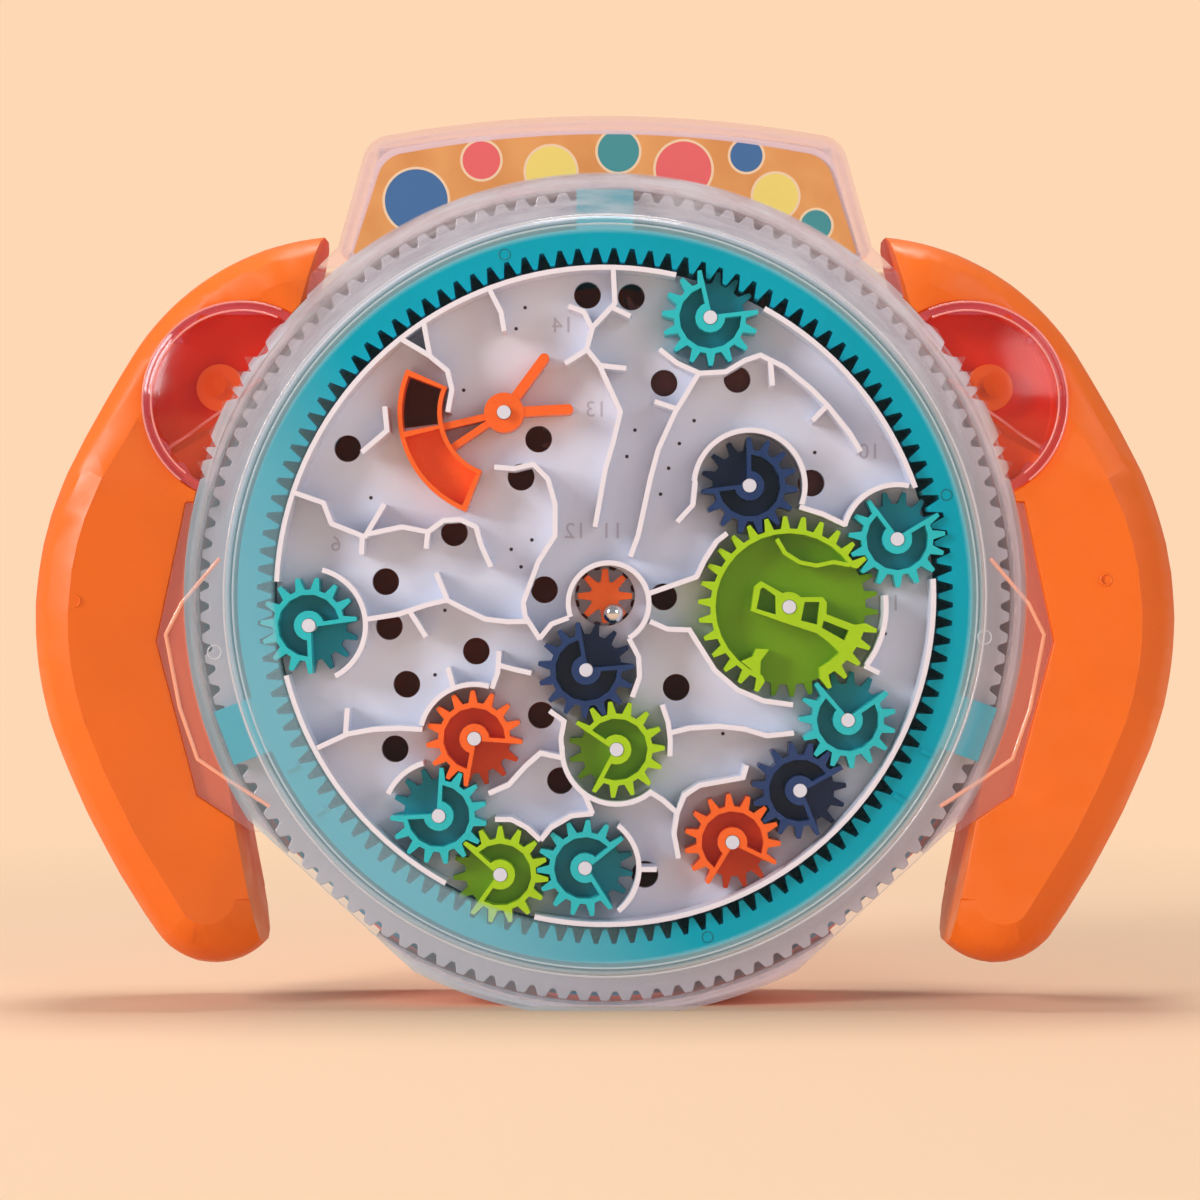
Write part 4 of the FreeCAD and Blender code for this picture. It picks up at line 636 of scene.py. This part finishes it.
def front_outline(piece):
    """Points along the outer and inner edges of a grip's front, each as a search tree."""
    count = {}
    for face in piece.data.polygons:
        if front_face(face):
            for pair in face.edge_keys:
                count[pair] = count.get(pair, 0) + 1
    outer, inner = [], []
    for pair, times in count.items():
        if times == 1:
            first, last = (piece.data.vertices[number].co for number in pair)
            side = outer if -(first.y + last.y) / 2.0 / MM < GRIP_FRONT - 4.0 else inner
            steps = max(int((last - first).length / (EDGE_STEP * MM)), 1)
            for step in range(steps):
                side.append(first.lerp(last, step / steps))
    return nearest_to(outer), nearest_to(inner)


def select_none():
    """Deselects all of the active piece's mesh."""
    bpy.ops.object.mode_set(mode="EDIT")
    bpy.ops.mesh.select_all(action="DESELECT")
    bpy.ops.object.mode_set(mode="OBJECT")


def cut_in_squares(piece):
    """Cuts the flat part of a grip's front into a grid that can carry a curve."""
    low = [min(vertex.co[axis] for vertex in piece.data.vertices) for axis in range(3)]
    high = [max(vertex.co[axis] for vertex in piece.data.vertices) for axis in range(3)]
    for axis, normal in ((0, (1.0, 0.0, 0.0)), (2, (0.0, 0.0, 1.0))):
        cut = low[axis] + CROWN_GRID * MM
        while cut < high[axis]:
            select_none()
            for face in piece.data.polygons:
                face.select = flat_face(face)
            bpy.ops.object.mode_set(mode="EDIT")
            spot = [0.0, 0.0, 0.0]
            spot[axis] = cut
            bpy.ops.mesh.bisect(plane_co=spot, plane_no=normal)
            bpy.ops.object.mode_set(mode="OBJECT")
            cut += CROWN_GRID * MM


def crowned(piece):
    """Raises the front of a grip from its inner edges to a clean ridge beside the outer rounding."""
    outer, inner = front_outline(piece)
    cut_in_squares(piece)
    raised, flat, rounded = set(), set(), set()
    flat_edges, rounded_edges = set(), set()
    for face in piece.data.polygons:
        if front_face(face):
            raised.update(face.vertices)
            (flat if flat_face(face) else rounded).update(face.vertices)
            (flat_edges if flat_face(face) else rounded_edges).update(face.edge_keys)
    ridge = flat_edges & rounded_edges
    for edge in piece.data.edges:
        middle = sum((piece.data.vertices[number].co for number in edge.vertices), Vector()) / 2.0
        if edge.key in ridge and inner.find(Vector((middle.x, 0.0, middle.z)))[2] > RIDGE_KEEP * MM:
            edge.use_edge_sharp = True
    inside = []
    for number in sorted(raised):
        vertex = piece.data.vertices[number]
        seen = Vector((vertex.co.x, 0.0, vertex.co.z))
        from_outer = outer.find(seen)[2] / MM
        from_inner = inner.find(seen)[2] / MM
        past_rounding = max(from_outer - GRIP_ROUNDING, 0.0)
        rise = min(CROWN * from_inner / (from_inner + past_rounding + 0.01), CROWN_SLOPE * from_inner)
        short = 1.0 - min(from_outer / GRIP_ROUNDING, 1.0)
        vertex.co.y -= rise * (1.0 - short * short) * MM
        if from_inner > SMOOTHED_FROM and number in flat and number not in rounded:
            inside.append(number)
    bpy.ops.object.mode_set(mode="EDIT")
    bpy.ops.mesh.select_mode(type="VERT")
    bpy.ops.mesh.select_all(action="DESELECT")
    bpy.ops.object.mode_set(mode="OBJECT")
    for number in inside:
        piece.data.vertices[number].select = True
    bpy.ops.object.mode_set(mode="EDIT")
    bpy.ops.mesh.vertices_smooth(factor=0.5, repeat=2, xaxis=False, yaxis=True, zaxis=False)
    bpy.ops.mesh.select_mode(type="FACE")
    bpy.ops.object.mode_set(mode="OBJECT")


cover = softened("front_cover", CASE_CLEAR, 0.4, 3)
paint_faces(cover, EAR_CLEAR, ear_dome)
paint_faces(cover, EAR_RIM, ear_rim)
for side, _ in SIDES:
    front = softened(side + "_grip_front", ORANGE_GRIP, 0.5, 3, 50.0, 40.0, crowned)
    softened(side + "_grip_back", ORANGE_GRIP, 0.5, 3, 50.0, 40.0)
    # the inside of each ear's bowl in the dark red painted shade
    paint_faces(front, RED_BOWL_SHADE, ear_bowl)
softened("case_screws", SCREW_STEEL, 0.2)
softened("idler_pin", SCREW_STEEL, 0.2)

BALL_RADIUS = 2.25
BALL_PLACE = (1.8, -3.85, 13.65)

bpy.ops.object.select_all(action="DESELECT")
bpy.ops.mesh.primitive_ico_sphere_add(subdivisions=5, radius=BALL_RADIUS * MM, location=at(*BALL_PLACE))
ball = bpy.context.object
ball.name = "ball_bearing"
bpy.ops.object.transform_apply(location=True, rotation=True, scale=True)
bpy.ops.object.shade_smooth()
ball.data.materials.append(BALL_STEEL)
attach(ball, "ball")
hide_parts("steel_ball")


# Printed card: round spots on tan, each with its middle, radius and colour

CARD_FRONT = 9.55
SPOT_RIM = 0.55
CARD_SPOTS = [
    (-42.0, 88.0, 7.0, linear(60, 112, 170)),
    (-27.5, 97.0, 4.2, linear(232, 104, 108)),
    (-12.0, 94.5, 5.6, linear(238, 222, 120)),
    (3.0, 99.0, 4.6, linear(62, 150, 160)),
    (17.5, 95.0, 6.2, linear(232, 104, 108)),
    (31.5, 98.0, 3.6, linear(60, 112, 170)),
    (38.0, 89.0, 5.0, linear(238, 222, 120)),
    (47.0, 82.5, 3.4, linear(62, 150, 160)),
]


def printed_card(name):
    """Tan card with flat round spots, each with a pale ring."""
    finish, tree, shader, _ = new_finish(name)
    fibre = cloud(tree, 90.0, 3.0)
    print_colour = shades(tree, fibre, linear(218, 150, 84), linear(230, 166, 100)).outputs["Color"]
    place = tree.nodes.new("ShaderNodeTexCoord")
    for x, z, radius, colour in CARD_SPOTS:
        away = tree.nodes.new("ShaderNodeVectorMath")
        away.operation = "DISTANCE"
        away.inputs[1].default_value = at(x, z, CARD_FRONT)
        tree.links.new(place.outputs["Object"], away.inputs[0])
        for reach, tone in ((radius + SPOT_RIM, linear(240, 214, 180)), (radius, colour)):
            inside = sums(tree, "LESS_THAN", away.outputs["Value"], reach * MM)
            print_colour = layered(tree, print_colour, inside, tone)
    tree.links.new(print_colour, shader.inputs["Base Color"])
    shader.inputs["Roughness"].default_value = 0.42
    return finish


softened("head_card", printed_card("printed_card"), 0.0)


# Small things on the board

BOARD_FRONT = 8.4

# Tiny ejector dots in the board's floor, right of and above the maze axis
DOT_RADIUS = 0.42
DOT_THICK = 0.08
DOT_SIDES = 12
DOTS = [
    (-17.8, 64.3), (-19.8, 59.6), (-31.5, 45.9), (-52.2, 21.9), (-16.3, 12.5), (-20.9, 10.4), (-18.7, 6.5),
    (-35.7, -3.2), (-37.9, -17.6), (19.9, 39.1), (16.6, 34.0), (14.2, 28.5), (12.4, 22.7), (6.7, 37.0),
    (4.9, 31.1), (46.8, 32.0), (62.5, -8.4), (26.3, -30.7),
]
DARK_DOT = moulded("dot_shade_plastic", linear(66, 50, 58), 0.5, 0.05)


def board_piece(piece, name, finish):
    """Names and paints a small thing on the board, and settles its place."""
    piece.name = name
    piece.data.materials.clear()
    piece.data.materials.append(finish)
    take(piece)
    bpy.ops.object.transform_apply(location=True, rotation=True, scale=True)
    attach(piece, "case")


for number, (x, z) in enumerate(DOTS):
    bpy.ops.object.select_all(action="DESELECT")
    bpy.ops.mesh.primitive_cylinder_add(
        vertices=DOT_SIDES, radius=DOT_RADIUS * MM, depth=DOT_THICK * MM,
        location=at(x, z, BOARD_FRONT - 0.05 + DOT_THICK / 2.0), rotation=FACING_FRONT)
    board_piece(bpy.context.object, "board_dot_%02d" % number, DARK_DOT)

# Faint plain numbers, seen through the floor and so the wrong way round
NUMBER_SIZE = 5.0
NUMBERS = [
    ("14", -9.4, 58.8), ("13", -2.0, 40.0), ("12", -6.6, 12.9), ("11", 1.6, 12.9), ("10", 59.0, 30.6),
    ("15", 63.6, -3.2), ("9", 25.0, 60.0), ("6", -60.0, 10.0),
]
for text, x, z in NUMBERS:
    bpy.ops.object.select_all(action="DESELECT")
    bpy.ops.object.text_add(location=at(x, z, BOARD_FRONT + 0.02), rotation=FACING_FRONT)
    figure = bpy.context.object
    figure.data.body = text
    figure.data.size = NUMBER_SIZE * MM
    figure.data.extrude = 0.03 * MM
    figure.data.resolution_u = 3
    figure.data.align_x = "CENTER"
    figure.scale = (-1.0, 1.0, 1.0)
    bpy.ops.object.convert(target="MESH")
    figure = bpy.context.object
    board_piece(figure, "board_number_" + text, BOARD_MARK)
    bpy.ops.object.mode_set(mode="EDIT")
    bpy.ops.mesh.select_all(action="SELECT")
    bpy.ops.mesh.normals_make_consistent(inside=False)
    bpy.ops.object.mode_set(mode="OBJECT")

# Floor of the ring, slate behind the gaps of its teeth: a sheet of the ring's teal darkened as painted
# shade
RING_FLOOR_MIDDLE = 76.5
RING_FLOOR_HALF = 4.0
RING_FLOOR_HEIGHT = 1.45
RING_FLOOR_FLATNESS = 0.04

bpy.ops.object.select_all(action="DESELECT")
bpy.ops.mesh.primitive_torus_add(
    major_radius=RING_FLOOR_MIDDLE * MM, minor_radius=RING_FLOOR_HALF * MM, major_segments=120,
    minor_segments=8, location=at(0.0, 0.0, RING_FLOOR_HEIGHT), rotation=FACING_FRONT)
ring_shade_sheet = bpy.context.object
ring_shade_sheet.name = "ring_shade_sheet"
ring_shade_sheet.scale = (1.0, 1.0, RING_FLOOR_FLATNESS)
bpy.ops.object.transform_apply(location=True, rotation=True, scale=True)
ring_shade_sheet.data.materials.append(moulded("slate_ring_painted_shade", linear(56, 126, 148), 0.45))
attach(ring_shade_sheet, "ring")

# Beads: thin round edges of the clear mouldings, frosted pale as painted highlight lines

PEACH_EDGE_HIGHLIGHT = clear("peach_edge_painted_highlight", (1.0, 0.9, 0.85), 0.85, linear(255, 178, 146), 0.12)
WHITE_EDGE_HIGHLIGHT = clear("white_edge_painted_highlight", (0.98, 0.98, 1.0), 0.6, (0.66, 0.68, 0.74), 0.08)
ROSE_EDGE_HIGHLIGHT = clear("rose_edge_painted_highlight", (1.0, 0.8, 0.8), 0.6, linear(250, 172, 168), 0.1)
PLATE_EDGE = [
    (85.1, 8.3), (93.5, -1.6), (97.0, -8.5), (93.9, -24.7), (90.0, -36.0), (83.5, -40.4), (74.0, -46.5),
]
PLATE_FRONT = 14.4


def bead(name, points, radius, finish, closed=False):
    """Thin round bead along points given as right, up and height in millimetres."""
    line = bpy.data.curves.new(name, "CURVE")
    line.dimensions = "3D"
    line.bevel_depth = radius * MM
    line.bevel_resolution = 2
    line.use_fill_caps = not closed
    run = line.splines.new("POLY")
    run.points.add(len(points) - 1)
    run.use_cyclic_u = closed
    for spot, (x, z, height) in zip(run.points, points):
        spot.co = (*at(x, z, height), 1.0)
    piece = bpy.data.objects.new(name, line)
    bpy.context.scene.collection.objects.link(piece)
    take(piece)
    bpy.ops.object.convert(target="MESH")
    piece = bpy.context.object
    bpy.ops.object.shade_smooth()
    piece.data.materials.clear()
    piece.data.materials.append(finish)
    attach(piece, "case")


def circle_points(radius, height):
    """Points round the maze axis, two degrees apart."""
    return [(*out(radius, 2.0 * step), height) for step in range(180)]


# Window edges: radius, height to the front and thickness
for name, radius, height, thick in (
        ("outer", 83.55, 18.75, 0.22), ("inner", 81.9, 17.1, 0.22), ("step", 84.1, 15.5, 0.25)):
    bead("window_%s_edge" % name, circle_points(radius, height), thick, WHITE_EDGE_HIGHLIGHT, True)

# Ear edges: arcs that end where the ear meets the case, and the rib across the bowl, as rose painted
# highlight lines
EAR_ARC = range(-52, 139, 5)
EAR_ARC_END = 93.6
EAR_RIB = [(76.5, 48.2), (84.0, 42.0), (92.0, 36.2), (98.0, 32.2)]
EAR_RIB_FRONT = 10.5
for side, sign in SIDES:
    bead(side + "_plate_edge", [(sign * x, z, PLATE_FRONT) for x, z in PLATE_EDGE], 0.5, PEACH_EDGE_HIGHLIGHT)
    for name, reach, height in (("outer", 22.0, 15.4), ("inner", 20.1, 15.6)):
        arc = [out(reach, angle, *EAR) for angle in EAR_ARC]
        arc = [(sign * x, z, height) for x, z in arc if math.hypot(x, z) > EAR_ARC_END]
        bead(side + "_ear_%s_edge" % name, arc, 0.24, ROSE_EDGE_HIGHLIGHT)
    bead(side + "_ear_rib_edge", [(sign * x, z, EAR_RIB_FRONT) for x, z in EAR_RIB], 0.4, ROSE_EDGE_HIGHLIGHT)

# Small round marks: dimples of the grips, and rings left by ejector pins; the cover's rings are pale
# painted highlight

def round_mark(name, spot, radius, thick, finish, body):
    """Thin ring that lies on a front face."""
    bpy.ops.object.select_all(action="DESELECT")
    bpy.ops.mesh.primitive_torus_add(
        major_radius=radius * MM, minor_radius=thick * MM, major_segments=32, minor_segments=10,
        location=spot, rotation=FACING_FRONT)
    mark = bpy.context.object
    mark.name = name
    bpy.ops.object.transform_apply(location=True, rotation=True, scale=True)
    bpy.ops.object.shade_smooth()
    mark.data.materials.append(finish)
    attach(mark, body)


for side, x, z in (("right", 110.2, 3.6), ("left", -116.5, -1.1)):
    grip = bpy.data.objects[side + "_grip_front_moulding"]
    nearest = min(grip.data.vertices, key=lambda vertex: (vertex.co - at(x, z, 18.0)).length)
    spot = at(x, z, -nearest.co.y / MM)
    round_mark(side + "_grip_gate_mark", spot, 1.25, 0.22, ORANGE_GRIP, "case")
for side, x, z in (("right", 83.7, -9.1), ("left", -86.1, -12.4)):
    round_mark(side + "_cover_gate_mark", at(x, z, 15.5), 1.5, 0.2, WHITE_EDGE_HIGHLIGHT, "case")
for number, angle in enumerate((16.5, 106.4, 286.7)):
    x, z = out(78.6, angle)
    # the ring's pin marks in the darker painted-shade teal
    round_mark("ring_pin_mark_%d" % number, at(x, z, 14.5), 1.2, 0.16, TEAL_PAINTED_SHADE, "ring")


# Studio

LAMP_AIM = Vector((0.0, 0.0, 0.09))


def lamp(name, place, energy, width, height):
    """Soft rectangular panel aimed at the toy."""
    light = bpy.data.lights.new(name, "AREA")
    light.shape = "RECTANGLE"
    light.size = width
    light.size_y = height
    light.energy = energy
    holder = bpy.data.objects.new(name, light)
    holder.location = place
    holder.rotation_euler = (LAMP_AIM - Vector(place)).to_track_quat("-Z", "Y").to_euler()
    bpy.context.scene.collection.objects.link(holder)


# Paper of floor and backdrop: under the toy it takes light and shadow, and further out it glows evenly
PEACH = linear(254, 216, 180)
PAPER_SHARE = 0.86
LIT_PAPER = 0.12
EVEN_PAPER = 0.5
ROOM_LEVEL = 0.33

bpy.ops.object.select_all(action="DESELECT")
bpy.ops.mesh.primitive_circle_add(vertices=96, radius=4.0, fill_type="NGON", location=(0, 0, 0))
floor = bpy.context.object
floor.name = "studio_floor"
paper, tree, shader, surface = new_finish("peach_paper")
shader.inputs["Base Color"].default_value = (*(part * PAPER_SHARE for part in PEACH), 1.0)
shader.inputs["Roughness"].default_value = 0.9
even = tree.nodes.new("ShaderNodeEmission")
even.inputs["Color"].default_value = (*PEACH, 1.0)
place = tree.nodes.new("ShaderNodeTexCoord")
far = tree.nodes.new("ShaderNodeVectorMath")
far.operation = "LENGTH"
tree.links.new(place.outputs["Object"], far.inputs[0])
fade = tree.nodes.new("ShaderNodeMapRange")
fade.interpolation_type = "SMOOTHSTEP"
fade.inputs["From Min"].default_value = LIT_PAPER
fade.inputs["From Max"].default_value = EVEN_PAPER
tree.links.new(far.outputs["Value"], fade.inputs["Value"])
sweep = tree.nodes.new("ShaderNodeMixShader")
tree.links.new(fade.outputs["Result"], sweep.inputs["Fac"])
tree.links.new(shader.outputs["BSDF"], sweep.inputs[1])
tree.links.new(even.outputs["Emission"], sweep.inputs[2])
tree.links.new(sweep.outputs["Shader"], surface.inputs["Surface"])
floor.data.materials.append(paper)

world = bpy.data.worlds.new("studio_air")
bpy.context.scene.world = world
world.use_nodes = True
tree = world.node_tree
tree.nodes.clear()
room = tree.nodes.new("ShaderNodeBackground")
room.inputs["Color"].default_value = (0.97, 0.97, 1.0, 1.0)
room.inputs["Strength"].default_value = ROOM_LEVEL
seen = tree.nodes.new("ShaderNodeBackground")
seen.inputs["Color"].default_value = (*PEACH, 1.0)
seen.inputs["Strength"].default_value = 1.0
path = tree.nodes.new("ShaderNodeLightPath")
mix = tree.nodes.new("ShaderNodeMixShader")
surface = tree.nodes.new("ShaderNodeOutputWorld")
tree.links.new(path.outputs["Is Camera Ray"], mix.inputs["Fac"])
tree.links.new(room.outputs["Background"], mix.inputs[1])
tree.links.new(seen.outputs["Background"], mix.inputs[2])
tree.links.new(mix.outputs["Shader"], surface.inputs["Surface"])

lamp("key_panel", (-1.48, -0.88, 0.75), 21.5, 0.45, 0.8)
lamp("fill_panel", (1.1, -1.1, 0.7), 5.0, 0.8, 0.8)
lamp("top_panel", (0.0, 0.1, 1.3), 9.0, 0.5, 0.4)

# Camera: straight at the front, level with the middle of the maze. Its frame is so many
# millimetres wide at the gears' tops.
DISTANCE = 600.0
FRAME_WIDTH = 264.4
SENSOR = 36.0
view = bpy.data.cameras.new("photo_camera")
view.sensor_width = SENSOR
view.lens = SENSOR * DISTANCE / FRAME_WIDTH
camera = bpy.data.objects.new("photo_camera", view)
camera.location = at(-1.1, -0.9, GEAR_TOP + DISTANCE)
camera.rotation_euler = FACING_FRONT
bpy.context.scene.collection.objects.link(camera)
bpy.context.scene.camera = camera
bpy.context.scene.view_settings.view_transform = "Standard"

bpy.context.view_layer.update()
